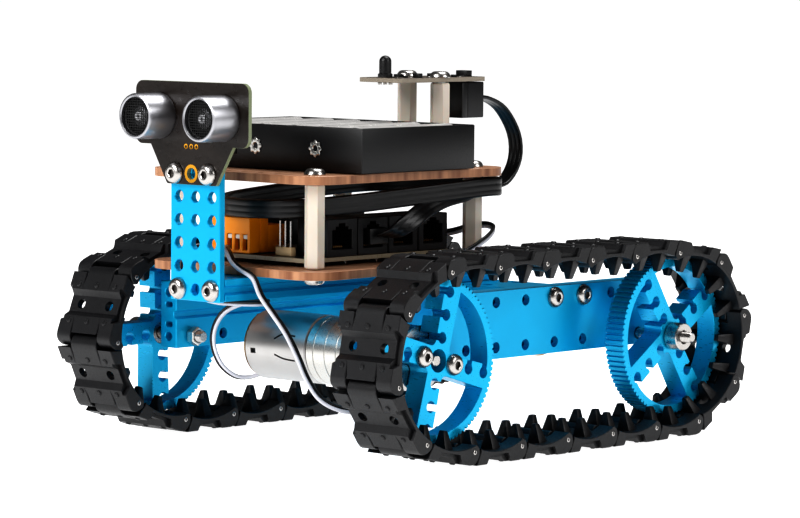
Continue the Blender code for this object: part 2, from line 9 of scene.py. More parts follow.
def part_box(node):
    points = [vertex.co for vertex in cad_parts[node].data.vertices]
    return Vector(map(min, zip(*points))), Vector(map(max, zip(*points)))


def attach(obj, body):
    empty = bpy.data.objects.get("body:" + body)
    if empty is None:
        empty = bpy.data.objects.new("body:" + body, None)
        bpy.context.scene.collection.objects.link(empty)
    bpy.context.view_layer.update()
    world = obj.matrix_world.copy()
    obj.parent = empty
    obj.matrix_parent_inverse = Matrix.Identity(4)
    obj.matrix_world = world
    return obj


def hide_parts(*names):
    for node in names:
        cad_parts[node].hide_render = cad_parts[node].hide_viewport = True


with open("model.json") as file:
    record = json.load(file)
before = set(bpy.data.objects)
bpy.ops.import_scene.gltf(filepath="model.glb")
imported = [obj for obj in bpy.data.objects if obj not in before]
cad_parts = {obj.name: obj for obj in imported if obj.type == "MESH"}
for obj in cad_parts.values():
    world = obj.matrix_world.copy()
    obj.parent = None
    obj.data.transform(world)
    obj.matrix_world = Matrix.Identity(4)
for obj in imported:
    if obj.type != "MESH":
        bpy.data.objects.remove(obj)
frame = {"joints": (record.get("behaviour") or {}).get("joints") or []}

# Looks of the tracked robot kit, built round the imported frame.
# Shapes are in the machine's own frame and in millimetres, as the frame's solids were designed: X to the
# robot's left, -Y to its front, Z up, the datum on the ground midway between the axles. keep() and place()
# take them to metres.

scene = bpy.context.scene
for stray in ("Cube", "Light", "Camera"):
    if stray in bpy.data.objects:
        bpy.data.objects.remove(bpy.data.objects[stray], do_unlink=True)
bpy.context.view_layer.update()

# ---- the machine's frame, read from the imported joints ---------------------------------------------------

joints = {joint["name"]: joint for joint in frame["joints"]}
front_axle, rear_axle = (Vector(joints[f"left_{end}_spin"]["pos_m"]) * 1000 for end in ("drive", "idler"))
DATUM_Y = (front_axle.y + rear_axle.y) / 2
AXLE_Y = (rear_axle.y - front_axle.y) / 2
AXLE_Z = front_axle.z
TRACK_X = front_axle.x
TO_WORLD = Matrix.Scale(0.001, 4) @ Matrix.Translation((0, DATUM_Y, 0))
GRID = 8.0
HOLE_R = 2.0
SIDES = (("left", 1), ("right", -1))

# Local axes of a flat outline: its x, its y and its thickness
ACROSS = Matrix(((0, 0, 1, 0), (1, 0, 0, 0), (0, 1, 0, 0), (0, 0, 0, 1)))    # (Y, Z) outline, thick in X
FRONTAL = Matrix(((1, 0, 0, 0), (0, 0, -1, 0), (0, 1, 0, 0), (0, 0, 0, 1)))  # (X, Z) outline, thick in -Y
LEVEL = Matrix.Identity(4)                                                   # (X, Y) outline, thick in Z
HALF_TURN = Matrix.Rotation(pi, 4, "Z")
UP, DOWN, FORWARD, ALONG_X = (0, 0, 1), (0, 0, -1), (0, -1, 0), (1, 0, 0)


def span(node):
    """Lowest and highest corner of a CAD node in the machine's frame."""
    return [Vector(corner) * 1000 - Vector((0, DATUM_Y, 0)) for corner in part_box(node)]


def middle(node):
    low, high = span(node)
    return (low + high) / 2


def running(node, side, y):
    """A node along X on an axle's line: its end on the inner side, its length and its radius."""
    low, high = span(node)
    return Vector((low.x if side > 0 else high.x, y, AXLE_Z)), high.x - low.x, (high.z - low.z) / 2


def srgb(*values):
    """Linear colour of a display colour with 8-bit values."""
    shares = (value / 255 for value in values)
    return tuple(s / 12.92 if s <= 0.04045 else ((s + 0.055) / 1.055) ** 2.4 for s in shares)


# ---- camera, light and floor ----------------------------------------------------------------------------

AZIMUTH, ELEVATION, ROLL = (radians(angle) for angle in (42.304, 4.441, 0.462))
STAND = (930.064, -1027.132, 171.416)           # the camera's place in the machine's frame
LAMPS = (("key", (-0.15, -1.15, 0.75), 0.7, 13), ("side", (1.25, 0.25, 0.7), 0.6, 5),
         ("top", (0.1, 0.35, 1.3), 0.7, 12))    # name, place in metres, size, power
LOOK_AT = Vector((0, 0, 0.05))


def camera():
    back = Vector((sin(AZIMUTH) * cos(ELEVATION), -cos(AZIMUTH) * cos(ELEVATION), sin(ELEVATION)))
    right = Vector((cos(AZIMUTH), sin(AZIMUTH), 0))
    up = back.cross(right)
    right, up = right * cos(ROLL) + up * sin(ROLL), up * cos(ROLL) - right * sin(ROLL)
    made = bpy.data.objects.new("camera", bpy.data.cameras.new("camera"))
    scene.collection.objects.link(made)
    made.data.lens, made.data.sensor_width = 171.107, 36.0
    made.data.clip_start, made.data.clip_end = 0.05, 50
    turn = Matrix((right, up, back)).transposed().to_4x4()
    made.matrix_world = Matrix.Translation(TO_WORLD @ Vector(STAND)) @ turn
    scene.camera = made


def studio():
    world = bpy.data.worlds.new("studio")
    world.use_nodes = True
    world.node_tree.nodes["Background"].inputs["Color"].default_value = (1, 1, 1, 1)
    world.node_tree.nodes["Background"].inputs["Strength"].default_value = 0.06
    scene.world = world
    scene.view_settings.view_transform = "Standard"
    scene.view_settings.look = "High Contrast"
    for name, at, size, power in LAMPS:
        lamp = bpy.data.objects.new(name, bpy.data.lights.new(name, "AREA"))
        lamp.data.size, lamp.data.energy = size, power
        scene.collection.objects.link(lamp)
        lamp.location = at
        lamp.rotation_euler = (Vector(at) - LOOK_AT).to_track_quat("Z", "Y").to_euler()

    bm = bmesh.new()
    bmesh.ops.create_grid(bm, size=60.0, x_segments=1, y_segments=1)
    mesh = bpy.data.meshes.new("floor")
    bm.to_mesh(mesh)
    bm.free()
    floor = bpy.data.objects.new("floor", mesh)
    scene.collection.objects.link(floor)
    floor.location.z = -0.0003
    paper = bpy.data.materials.new("floor")
    paper.use_nodes = True
    for socket, value in (("Base Color", (0.6, 0.6, 0.6, 1)), ("Roughness", 0.9), ("Specular IOR Level", 0.1),
                          ("Emission Color", (1, 1, 1, 1)), ("Emission Strength", 0.68)):
        paper.node_tree.nodes["Principled BSDF"].inputs[socket].default_value = value
    mesh.materials.append(paper)


camera()
studio()

# ---- materials ------------------------------------------------------------------------------------------


class Nodes:
    """Short hand for building one material's nodes."""

    def __init__(self, name):
        self.material = bpy.data.materials.new(name)
        self.material.use_nodes = True
        self.tree = self.material.node_tree
        self.shader = self.tree.nodes["Principled BSDF"]
        self.place = self.add("TexCoord").outputs["Object"]

    def add(self, kind, inputs=(), **settings):
        """A node. inputs maps a socket's name or number to a value or to another node's socket."""
        node = self.tree.nodes.new("ShaderNode" + kind)
        for key, value in settings.items():
            setattr(node, key, value)
        return self.feed(node, inputs)

    def feed(self, node, inputs):
        for key, value in dict(inputs).items():
            if isinstance(value, bpy.types.NodeSocket):
                self.tree.links.new(value, node.inputs[key])
            else:
                node.inputs[key].default_value = value
        return node

    def noise(self, scale, detail=3.0, stretch=(1, 1, 1)):
        """Noise whose features are about 1/scale metres across."""
        mapping = self.add("Mapping", {"Vector": self.place, "Scale": stretch})
        settings = {"Vector": mapping.outputs[0], "Scale": scale, "Detail": detail}
        return self.add("TexNoise", settings).outputs["Fac"]

    def spread(self, value, low, high, start=0.3, end=0.7):
        """Map start..end of a value to low..high."""
        limits = {"Value": value, "From Min": start, "From Max": end, "To Min": low, "To Max": high}
        return self.add("MapRange", limits).outputs[0]

    def mix(self, share, first, second):
        colours = {0: share}
        for index, value in ((6, first), (7, second)):
            colours[index] = value if isinstance(value, bpy.types.NodeSocket) else (*value, 1)
        return self.add("Mix", colours, data_type="RGBA").outputs[2]

    def facing(self, axis):
        """How far a face looks along an axis, from 0 to 1."""
        parts = self.add("SeparateXYZ")
        self.feed(parts, {"Vector": self.add("NewGeometry").outputs["Normal"]})
        return self.add("Math", {0: parts.outputs[axis]}, operation="ABSOLUTE").outputs[0]

    def done(self, height, depth, **sockets):
        """Set the shader's sockets, and the bump of a height field."""
        self.feed(self.shader, {key.replace("_", " "): value for key, value in sockets.items()})
        bump = self.add("Bump", {"Height": height, "Distance": depth, "Strength": 1.0})
        self.tree.links.new(bump.outputs[0], self.shader.inputs["Normal"])
        return self.material


def finish(name, rgb, roughness, metallic=0.0, tone=0.12, grain=900.0, depth=0.00003, rough_spread=0.07,
           stretch=(1, 1, 1), **sockets):
    """A finish with drifting tone, uneven gloss and a fine surface texture."""
    nodes = Nodes(name)
    cloud = nodes.noise(60.0, 4.0)
    dark, light = (tuple(min(1.0, c * (1 + sign * tone)) for c in rgb) for sign in (-1, 1))
    colour = nodes.mix(nodes.spread(cloud, 0, 1), dark, light)
    fine = nodes.noise(grain, 2.0, stretch)
    gloss = nodes.spread(fine, roughness - rough_spread, roughness + rough_spread)
    return nodes.done(fine, depth, Base_Color=colour, Metallic=metallic, Roughness=gloss, **sockets)


def board_finish(name, face, rim, axis):
    """A circuit board: solder mask on its faces, bare glass fibre on its cut edge."""
    nodes = Nodes(name)
    mask = nodes.mix(nodes.spread(nodes.noise(140.0), 0, 1), tuple(0.75 * c for c in face), face)
    fibre = nodes.mix(nodes.noise(900.0, 2.0, (1, 1, 6)), tuple(0.8 * c for c in rim), rim)
    flat = nodes.spread(nodes.facing(axis), 0, 1, 0.6, 0.8)
    traces = nodes.noise(500.0, 1.0, (1, 5, 1))
    colour = nodes.mix(flat, fibre, mask)
    return nodes.done(traces, 0.00004, Base_Color=colour, Roughness=nodes.spread(traces, 0.26, 0.42))


def deck_finish():
    """Brown sheet with a satin face and the dark vertical streaks of a laser-cut edge."""
    nodes = Nodes("laser_cut_sheet")
    grain = nodes.spread(nodes.noise(220.0, 5.0, (1, 0.25, 1)), 0, 1)
    face = nodes.mix(grain, srgb(168, 124, 96), srgb(190, 148, 120))
    streaks = nodes.noise(300.0, 2.0, (1, 1, 0.02))
    rim = nodes.mix(nodes.spread(streaks, 0, 1), srgb(122, 76, 48), srgb(182, 134, 100))
    colour = nodes.mix(nodes.spread(nodes.facing(2), 0, 1, 0.4, 0.7), rim, face)
    return nodes.done(streaks, 0.00005, Base_Color=colour, Roughness=nodes.spread(streaks, 0.3, 0.5))


def metal(name, rgb, roughness):
    """Bright metal with fine tool marks."""
    return finish(name, rgb, roughness, 1.0, 0.05, 2600.0, 0.000004, 0.04)


BLUE = finish("anodised_blue", srgb(0, 173, 221), 0.34, 0.5, 0.04, 3000.0, 0.000006, 0.04)
BLUE_CUT = finish("turned_blue", srgb(0, 177, 223), 0.3, 0.5, 0.03, 1800.0, 0.000004, 0.03, (0.2, 1, 1))
STEEL = metal("bright_steel", (0.5, 0.48, 0.46), 0.28)
# Dark metal for the screws' hexagonal recesses: painted shade in the recess, not the steel's own colour
KEY_RECESS_SHADE = metal("screw_key_painted_shade", (0.16, 0.15, 0.14), 0.4)
ZINC = metal("zinc_plate", (0.62, 0.61, 0.58), 0.3)
CAN = metal("motor_can", (0.5, 0.49, 0.48), 0.34)
BRONZE = metal("bronze_ring", srgb(176, 140, 96), 0.35)
SENSOR_CAN = metal("sensor_can", (0.42, 0.42, 0.44), 0.36)
SENSOR_CONE = metal("sensor_cone", (0.26, 0.26, 0.27), 0.6)
GOLD = metal("gold_plate", srgb(230, 170, 60), 0.25)
TRACK = finish("track_nylon", srgb(21, 21, 23), 0.44, 0.0, 0.25, 1500.0, 0.00003, 0.08)
NYLON = finish("cream_nylon", srgb(208, 199, 186), 0.42, 0.0, 0.05, 500.0, 0.00002, 0.06,
               Subsurface_Weight=0.25, Subsurface_Scale=0.003)
CASE = finish("black_case", srgb(6, 6, 8), 0.42, 0.0, 0.2, 2200.0, 0.00002, 0.06)
# Near-black: the own colour of the set screw and the eye grille, and painted shade in the eye wells, the
# terminal's wire entries and inside the motor can
DARK_AND_SHADE = finish("dark_parts_and_painted_shade", srgb(9, 9, 10), 0.6, 0.0, 0.3, 1200.0, 0.00004)
SLEEVE = finish("cell_sleeve", srgb(206, 204, 202), 0.22, 0.3, 0.06, 300.0, 0.00001)
ORANGE = finish("orange_terminal", srgb(255, 150, 0), 0.36, 0.0, 0.08, 1500.0, 0.00003)
BEIGE = finish("beige_header", srgb(206, 178, 138), 0.5, 0.0, 0.08, 1500.0, 0.00003)
PALE = finish("pale_lever", srgb(222, 216, 206), 0.4, 0.0, 0.05, 900.0, 0.00002)
CABLE = finish("cable_black", srgb(5, 5, 7), 0.36, 0.0, 0.2, 260.0, 0.00001, 0.04)
LEAD_WHITE = finish("lead_white", srgb(206, 206, 214), 0.35, 0.0, 0.06, 400.0, 0.00004)
SENSOR_BOARD = board_finish("sensor_board", srgb(26, 17, 10), srgb(132, 140, 112), 1)
MODULE_BOARD = board_finish("module_board", srgb(96, 88, 80), srgb(150, 140, 126), 2)
CONTROL_BOARD = board_finish("control_board", srgb(26, 24, 26), srgb(150, 140, 120), 2)
DECK = deck_finish()

# ---- shapes ---------------------------------------------------------------------------------------------


def circle(centre, radius, sides=24):
    turns = [2 * pi * k / sides for k in range(sides)]
    return [(centre[0] + radius * cos(t), centre[1] + radius * sin(t)) for t in turns]


def arc(centre, radius, first, last, steps):
    """Points of an arc between two angles in degrees, both ends included."""
    turns = [radians(first + (last - first) * k / steps) for k in range(steps + 1)]
    return [(centre[0] + radius * cos(t), centre[1] + radius * sin(t)) for t in turns]


def rounded(low, high, radius, steps=5):
    """A rectangle with round corners."""
    (x0, y0), (x1, y1), r = low, high, radius
    corners = (x1 - r, y1 - r), (x0 + r, y1 - r), (x0 + r, y0 + r), (x1 - r, y0 + r)
    return [point for k, corner in enumerate(corners) for point in arc(corner, r, 90 * k, 90 * k + 90, steps)]


def moved(bm, matrix):
    bmesh.ops.transform(bm, verts=bm.verts, matrix=matrix)
    return bm


def from_object(holder):
    """The shape of an object with its modifiers. The object and its data go."""
    bpy.context.view_layer.update()
    mesh = bpy.data.meshes.new_from_object(holder.evaluated_get(bpy.context.evaluated_depsgraph_get()))
    bm = bmesh.new()
    bm.from_mesh(mesh)
    bpy.data.meshes.remove(mesh)
    return bm


def slab(outlines, low, high, turn=LEVEL, at=(0, 0, 0), edge=0.25):
    """A flat piece with chamfered edges: the first outline is its rim, the others are its openings."""
    curve = bpy.data.curves.new("outline", "CURVE")
    curve.dimensions, curve.fill_mode = "2D", "BOTH"
    curve.bevel_depth, curve.offset, curve.bevel_resolution = edge, -edge, 0
    curve.extrude = (high - low) / 2 - edge
    for outline in outlines:
        spline = curve.splines.new("POLY")
        spline.points.add(len(outline) - 1)
        for point, (across, along) in zip(spline.points, outline):
            point.co = (across, along, 0, 1)
        spline.use_cyclic_u = True
    holder = bpy.data.objects.new("outline", curve)
    scene.collection.objects.link(holder)
    bm = from_object(holder)
    bpy.data.objects.remove(holder)
    bpy.data.curves.remove(curve)
    bmesh.ops.remove_doubles(bm, verts=bm.verts, dist=0.003)
    moved(bm, Matrix.Translation(at) @ turn @ Matrix.Translation((0, 0, (low + high) / 2)))
    bmesh.ops.recalc_face_normals(bm, faces=bm.faces)
    return bm


def aim(direction):
    return Vector(direction).to_track_quat("Z", "Y").to_matrix().to_4x4()


def turned(profile, at=(0, 0, 0), direction=UP, steps=48, ring=False):
    """A turned body from (distance along, radius) points. A radius may be a function of the angle."""
    bm = bmesh.new()
    rings = []
    for along, radius in profile:
        if radius == 0:
            rings.append([bm.verts.new((0, 0, along))])
            continue
        turns = [2 * pi * k / steps for k in range(steps)]
        reach = [radius(t) if callable(radius) else radius for t in turns]
        rings.append([bm.verts.new((r * cos(t), r * sin(t), along)) for r, t in zip(reach, turns)])
    for one, two in list(zip(rings, rings[1:])) + ([(rings[-1], rings[0])] if ring else []):
        for k in range(steps):
            corners = [one[k % len(one)], one[(k + 1) % len(one)], two[(k + 1) % len(two)], two[k % len(two)]]
            bm.faces.new(list(dict.fromkeys(corners)))
    for end in () if ring else (rings[0], rings[-1]):
        if len(end) > 1:
            bm.faces.new(end)
    bmesh.ops.recalc_face_normals(bm, faces=bm.faces)
    return moved(bm, Matrix.Translation(at) @ aim(direction))


def hexed(apothem):
    """Radius of a hexagon at an angle."""
    return lambda t: apothem / cos((t + pi / 6) % (pi / 3) - pi / 6)


def bevelled(bm, edge, steps=2):
    if edge:
        bmesh.ops.bevel(bm, geom=list(bm.edges), offset=edge, segments=steps, profile=0.5, affect="EDGES")
    return bm


def block(low, high, edge=0.3, steps=2):
    bm = bmesh.new()
    bmesh.ops.create_cube(bm, size=1.0)
    low, high = Vector(low), Vector(high)
    bmesh.ops.scale(bm, vec=high - low, verts=bm.verts)
    bmesh.ops.translate(bm, vec=(low + high) / 2, verts=bm.verts)
    return bevelled(bm, edge, steps)


def bar(centre, size, edge=0.3, steps=2):
    """A block by its middle and its size."""
    half = Vector(size) / 2
    return block(Vector(centre) - half, Vector(centre) + half, edge, steps)


def joined(*shapes):
    """Several closed shapes in one mesh."""
    whole = bmesh.new()
    for bm in shapes:
        mesh = bpy.data.meshes.new("part")
        bm.to_mesh(mesh)
        bm.free()
        whole.from_mesh(mesh)
        bpy.data.meshes.remove(mesh)
    return whole


def combined(target, tool, operation="DIFFERENCE"):
    """Boolean of two shapes."""
    holders = []
    for bm in (target, tool):
        mesh = bpy.data.meshes.new("operand")
        bm.to_mesh(mesh)
        bm.free()
        holders.append(bpy.data.objects.new("operand", mesh))
        scene.collection.objects.link(holders[-1])
    modifier = holders[0].modifiers.new("combine", "BOOLEAN")
    modifier.operation, modifier.solver, modifier.object = operation, "EXACT", holders[1]
    bm = from_object(holders[0])
    for holder in holders:
        mesh = holder.data
        bpy.data.objects.remove(holder)
        bpy.data.meshes.remove(mesh)
    return bm


def headings(points):
    """The line's direction at each of its points."""
    last = len(points) - 1
    return [(points[min(k + 1, last)] - points[max(k - 1, 0)]).normalized() for k in range(last + 1)]


def square_to(side, ahead):
    return (side - ahead * side.dot(ahead)).normalized()


def smooth_route(route, spacing):
    """Catmull-Rom points through the route, about `spacing` apart."""
    knots = [Vector(p) for p in route]
    points = []
    for k, (start, end) in enumerate(zip(knots, knots[1:])):
        before = knots[k - 1] if k else start * 2 - end
        after = knots[k + 2] if k + 2 < len(knots) else end * 2 - start
        steps = max(1, round((end - start).length / spacing))
        for t in (step / steps for step in range(steps)):
            points.append(0.5 * (2 * start + (end - before) * t
                                 + (2 * before - 5 * start + 4 * end - after) * t ** 2
                                 + (3 * start - before - 3 * end + after) * t ** 3))
    return points + [knots[-1]]


def swept(points, section, wide):
    """A section of (across, thick) points along a line; wide(k) is about where the section's x points."""
    bm = bmesh.new()
    rings = []
    for k, (point, ahead) in enumerate(zip(points, headings(points))):
        side = square_to(wide(k), ahead)
        face = ahead.cross(side)
        rings.append([bm.verts.new(point + side * a + face * b) for a, b in section])
    count = len(section)
    for one, two in zip(rings, rings[1:]):
        for k in range(count):
            bm.faces.new((one[k], one[(k + 1) % count], two[(k + 1) % count], two[k]))
    bm.faces.new(rings[0])
    bm.faces.new(rings[-1])
    bmesh.ops.recalc_face_normals(bm, faces=bm.faces)
    return bm


# ---- pieces ---------------------------------------------------------------------------------------------


def pattern(name, bm, material, degrees=32, paint=None, matrix=Matrix.Scale(0.001, 4)):
    """A mesh in metres from a shape in millimetres. paint gives a face's material index."""
    mesh = bpy.data.meshes.new(name)
    if paint:
        for face in bm.faces:
            face.material_index = paint(face)
    bm.to_mesh(mesh)
    bm.free()
    mesh.transform(matrix)
    for one in material if isinstance(material, list) else [material]:
        mesh.materials.append(one)
    mesh.shade_smooth()
    mesh.set_sharp_from_angle(angle=radians(degrees))
    return mesh


def riding(name, mesh, body, node, matrix=None):
    """A piece on its body, in the stead of the CAD node that it stands for."""
    made = bpy.data.objects.new(name, mesh)
    scene.collection.objects.link(made)
    if matrix:
        made.matrix_world = matrix
        bpy.context.view_layer.update()
    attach(made, body)
    if node:
        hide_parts(node)
    return made


def keep(name, bm, material, node=None, body="chassis", degrees=32, paint=None):
    """One finished piece, from a shape in the machine's frame."""
    return riding(name, pattern(name, bm, material, degrees, paint, TO_WORLD), body, node)


def place(name, mesh, at, turn, node=None, body="chassis"):
    """A piece that shares its mesh, put at a point of the machine's frame."""
    matrix = TO_WORLD @ Matrix.Translation(at) @ turn.to_4x4() @ Matrix.Scale(1000, 4)
    return riding(name, mesh, body, node, matrix)


# ---- fasteners ------------------------------------------------------------------------------------------


def button_screw(shank):
    """M4 button-head screw, its seat at the origin and its head along +Z."""
    head_r, head_h, key = 3.8, 2.2, hexed(1.25)
    dome = [(head_h * sin(t), 1.9 + (head_r - 1.9) * cos(t)) for t in map(radians, (12, 30, 48, 66, 82, 90))]
    return turned([(-shank, 0), (-shank, 1.6), (-shank + 0.4, 1.95), (0, 1.95), (0, head_r - 0.15),
                   (0.25, head_r)] + dome + [(head_h, 1.62), (head_h - 0.18, key), (0.9, key), (0.75, 0)])


def in_key(face):
    """The walls and floor of the screw's hexagonal recess get a dark metal: painted shade in the recess."""
    spot = face.calc_center_median()
    return 1 if spot.xy.length < 1.5 and 0.5 < spot.z < 1.95 else 0


SHORT_SCREW = pattern("short_button_screw", button_screw(2.6), [STEEL, KEY_RECESS_SHADE], 40, in_key)
LONG_SCREW = pattern("long_button_screw", button_screw(7.0), [STEEL, KEY_RECESS_SHADE], 40, in_key)


def screw(name, mesh, at, direction, spin=0.3, body="chassis"):
    place(name, mesh, at, aim(direction) @ Matrix.Rotation(spin, 4, "Z"), body=body)


# ---- perforated beams and the sensor plate --------------------------------------------------------------


def groove(face, z, inward, wide, narrow, climb):
    """Points of a groove in the face of a beam's section; climb is 1 going up and -1 going down."""
    bottom = face + inward
    return [(face, z - climb * wide), (bottom, z - climb * narrow), (bottom, z + climb * narrow),
            (face, z + climb * wide)]


def beam(node, outlines, low, high, turn, bores, along):
    """Its section drawn out from low to high, bored by holes of (place, radius) along a direction."""
    cutters = [turned([(-6, radius), (6, radius)], spot, along, 32) for spot, radius in bores]
    keep(f"{node}_bar", combined(slab(outlines, low, high, turn), joined(*cutters)), BLUE, node)


for side_name, side in SIDES:
    low, high = span(f"{side_name}_side_beam")
    inner, outer = (low.x, high.x) if side > 0 else (high.x, low.x)
    centre = (low + high) / 2
    section = [(outer, low.z), (outer, high.z), (inner, high.z)]
    section += groove(inner, centre.z, side * 1.3, 1.6, 0.8, -1) + [(inner, low.z)]
    windows = [circle((centre.x, AXLE_Z + 2 * GRID * row), 1.65, 20) for row in (0, 1)]
    windows += [rounded((centre.x - 1.5, centre.z + near), (centre.x + 1.9, centre.z + far), 0.7, 3)
                for near, far in ((-4.6, -2.6), (2.6, 4.6))]
    bores = []
    for y in (2 * GRID * k for k in range(-4, 5)):
        bores += [((centre.x, y, AXLE_Z), 2.3 if abs(abs(y) - AXLE_Y) < 0.1 else HOLE_R),
                  ((centre.x, y, AXLE_Z + 2 * GRID), HOLE_R)]
    beam(f"{side_name}_side_beam", [section] + windows, -high.y, -low.y, FRONTAL, bores, ALONG_X)
    for k in (1, 2):
        screw(f"{side_name}_beam_screw_{k}", LONG_SCREW, (outer, 2 * GRID * k, AXLE_Z + 2 * GRID),
              (side, 0, 0), 0.3 + k)

low, high = span("cross_beam")
centre = (low + high) / 2
section = [(low.y, low.z), (high.y, low.z)] + groove(high.y, centre.z, -1.2, 1.2, 0.6, 1)
section += [(high.y, high.z), (low.y, high.z)] + groove(low.y, centre.z, 1.2, 1.2, 0.6, -1)
windows = [circle((centre.y + side * GRID, centre.z), 1.65, 20) for side in (-1, 1)]
beam("cross_beam", [section] + windows, low.x, high.x, ACROSS,
     [((x, centre.y + side * GRID, centre.z), HOLE_R) for x in (-40, -24, -8, 8, 24, 40) for side in (-1, 1)],
     UP)
for k in (-1, 1):
    screw(f"cross_beam_screw_{(k + 3) // 2}", SHORT_SCREW, (8 * k, centre.y + GRID, low.z), DOWN)

low, high = span("centre_beam")
centre = (low + high) / 2
section = [(12, low.z)] + groove(12, centre.z, -1.4, 1.7, 0.9, 1) + [(12, high.z), (-12, high.z)]
section += groove(-12, centre.z, 1.4, 1.7, 0.9, -1) + [(-12, low.z)]
windows = [circle((x, centre.z), 1.65, 20) for x in (-8, 8)]
beam("centre_beam", [section] + windows, -high.y, -low.y, FRONTAL,
     [((x, 28 - 2 * GRID * row, centre.z), HOLE_R) for x in (-8, 8) for row in range(9)], UP)
screw("centre_beam_screw", SHORT_SCREW, (-8, -84, low.z), DOWN)

low, high = span("sensor_plate")
holes = [circle((GRID * column, low.z + 4 + GRID * row), HOLE_R, 28)
         for column in (-1, 0, 1) for row in range(6)]
keep("sensor_plate_sheet", slab([rounded((low.x, low.z), (high.x, high.z), 0.5, 3)] + holes, -high.y, -low.y,
                                FRONTAL, edge=0.3), BLUE, "sensor_plate")
for k in (-1, 1):
    screw(f"plate_screw_{(k + 3) // 2}", LONG_SCREW, (GRID * k, low.y, low.z + 4), FORWARD, 0.2 * k)
TOP_HOLE_Z = low.z + 4 + 5 * GRID

# ---- decks and standoffs --------------------------------------------------------------------------------

posts = {name: middle(name + "_standoff")
         for name in ("front_left", "front_right", "rear_left", "rear_right")}
POST_X, POST_FRONT, POST_REAR = posts["rear_left"].x, posts["front_left"].y, posts["rear_left"].y
LOBE, WAIST = 10.3, 1.8


def deck_outline():
    """Rounded lobes about the four standoffs, their sides drawn in smoothly between them."""
    points = []
    middle_y, half_y = (POST_FRONT + POST_REAR) / 2, (POST_REAR - POST_FRONT) / 2
    reach_x, reach_y = POST_X + LOBE, half_y + LOBE
    for side, y, first in ((1, POST_REAR, 0), (-1, POST_REAR, 90),
                           (-1, POST_FRONT, 180), (1, POST_FRONT, 270)):
        points += arc((side * POST_X, y), LOBE, first, first + 90, 12)
        across, along = round(cos(radians(first + 90))), round(sin(radians(first + 90)))
        for share in (1 - 2 * k / 12 for k in range(1, 12)):
            inward = WAIST * cos(share * pi / 2) ** 1.5
            if along:
                points.append((POST_X * share * along, middle_y + along * (reach_y - inward)))
            else:
                points.append((across * (reach_x - inward), middle_y - across * half_y * share))
    return points


def deck(node, spots):
    low, high = span(node)
    holes = [circle((side * POST_X, y), 2.1) for side in (-1, 1) for y in (POST_FRONT, POST_REAR)]
    holes += [circle(spot, HOLE_R, 20) for spot in spots]
    keep(f"{node}_sheet", slab([deck_outline()] + holes, low.z, high.z, edge=0.12), DECK, node)
    return low.z, high.z


rows = [(x, POST_FRONT + y) for y in (-3, 5) for x in (-16, -8, 0, 8, 16)]
DECKS_LOW, _ = deck("base_deck", rows + [(36, -40), (36, -48), (36, -56)])
_, DECKS_HIGH = deck("upper_deck", [(x, POST_REAR + 2) for x in (-16, -8, 8)] + rows[:5])


def post(node):
    """A moulded hexagonal standoff with chamfered ends and a threaded hole."""
    low, high = span(node)
    half, reach = (high.z - low.z) / 2, (high.x - low.x) / 2 * cos(pi / 6)
    hexagon, tip = hexed(reach), hexed(reach - 0.5)
    profile = [(-half, 1.7), (-half, tip), (-half + 0.5, hexagon),
               (half - 0.5, hexagon), (half, tip), (half, 1.7)]
    keep(f"{node}_hex", turned(profile, (low + high) / 2, ring=True), NYLON, node, degrees=25)


for name, spot in posts.items():
    post(f"{name}_standoff")
    screw(f"{name}_top_screw", SHORT_SCREW, (spot.x, spot.y, DECKS_HIGH), UP, spot.x)
    screw(f"{name}_bottom_screw", SHORT_SCREW, (spot.x, spot.y, DECKS_LOW), DOWN)

# ---- battery tray, cells and contacts -------------------------------------------------------------------

tray_low, tray_high = span("battery_tray")
WALL = 1.4
cells = [span(f"battery_cell_{k + 1}") for k in range(6)]
cell_x = [(low.x + high.x) / 2 for low, high in cells]
cell_low, cell_high = cells[0]
cell_r, cell_z = (cell_high.z - cell_low.z) / 2, (cell_high.z + cell_low.z) / 2
cell_l, cell_y = (cell_high.y - cell_low.y) / 2, (cell_high.y + cell_low.y) / 2


def tray():
    well = block(tray_low + Vector((WALL, WALL, WALL)), tray_high + Vector((-WALL, -WALL, 5)), 0.3)
    ribs = []
    for x in ((left + right) / 2 for left, right in zip(cell_x, cell_x[1:])):
        saddle = [(x - 0.45, tray_low.z + 0.6), (x + 0.45, tray_low.z + 0.6), (x + 0.25, cell_z - 2.4),
                  (x - 0.25, cell_z - 2.4)]
        for y in (cell_low.y + 10, cell_high.y - 10):
            ribs.append(slab([saddle], -y - 4, -y + 4, FRONTAL, edge=0.08))
    return joined(combined(block(tray_low, tray_high, 0.45), well), *ribs)


def petals(turn):
    return 2.75 + 0.3 * cos(8 * turn)


keep("battery_tray_shell", tray(), CASE, "battery_tray")
CELL = [(-cell_l, 0), (-cell_l, 5.4), (-cell_l + 0.5, cell_r - 0.3), (-cell_l + 0.9, cell_r),
        (cell_l - 2.2, cell_r), (cell_l - 1.7, cell_r - 0.4), (cell_l - 1.5, 4.6), (cell_l - 1.4, 2.75),
        (cell_l - 0.2, 2.6), (cell_l, 2.2), (cell_l, 0)]
RIVET = [(-0.6, 1.0), (-0.6, 1.5), (0.05, 1.6), (0.1, petals), (0.3, petals), (0.5, 2.2), (0.42, 1.3),
         (0.1, 1.0)]
for k, x in enumerate(cell_x):
    flip, wall_y = (-1, tray_high.y) if k % 2 else (1, tray_low.y)

    def bare(face):
        """The cell's two ends are bare metal."""
        along = (face.calc_center_median().y - cell_y) * flip
        return 1 if along > cell_l - 1.62 or along < -cell_l + 0.3 else 0

    keep(f"cell_{k + 1}_sleeve", turned(CELL, (x, cell_y, cell_z), (0, flip, 0), 40), [SLEEVE, ZINC],
         f"battery_cell_{k + 1}", paint=bare)
    spot = (x + 1.2, wall_y, cell_z - 0.8)
    keep(f"contact_rivet_{k + 1}", turned(RIVET, spot, (0, -flip, 0), ring=True), ZINC)


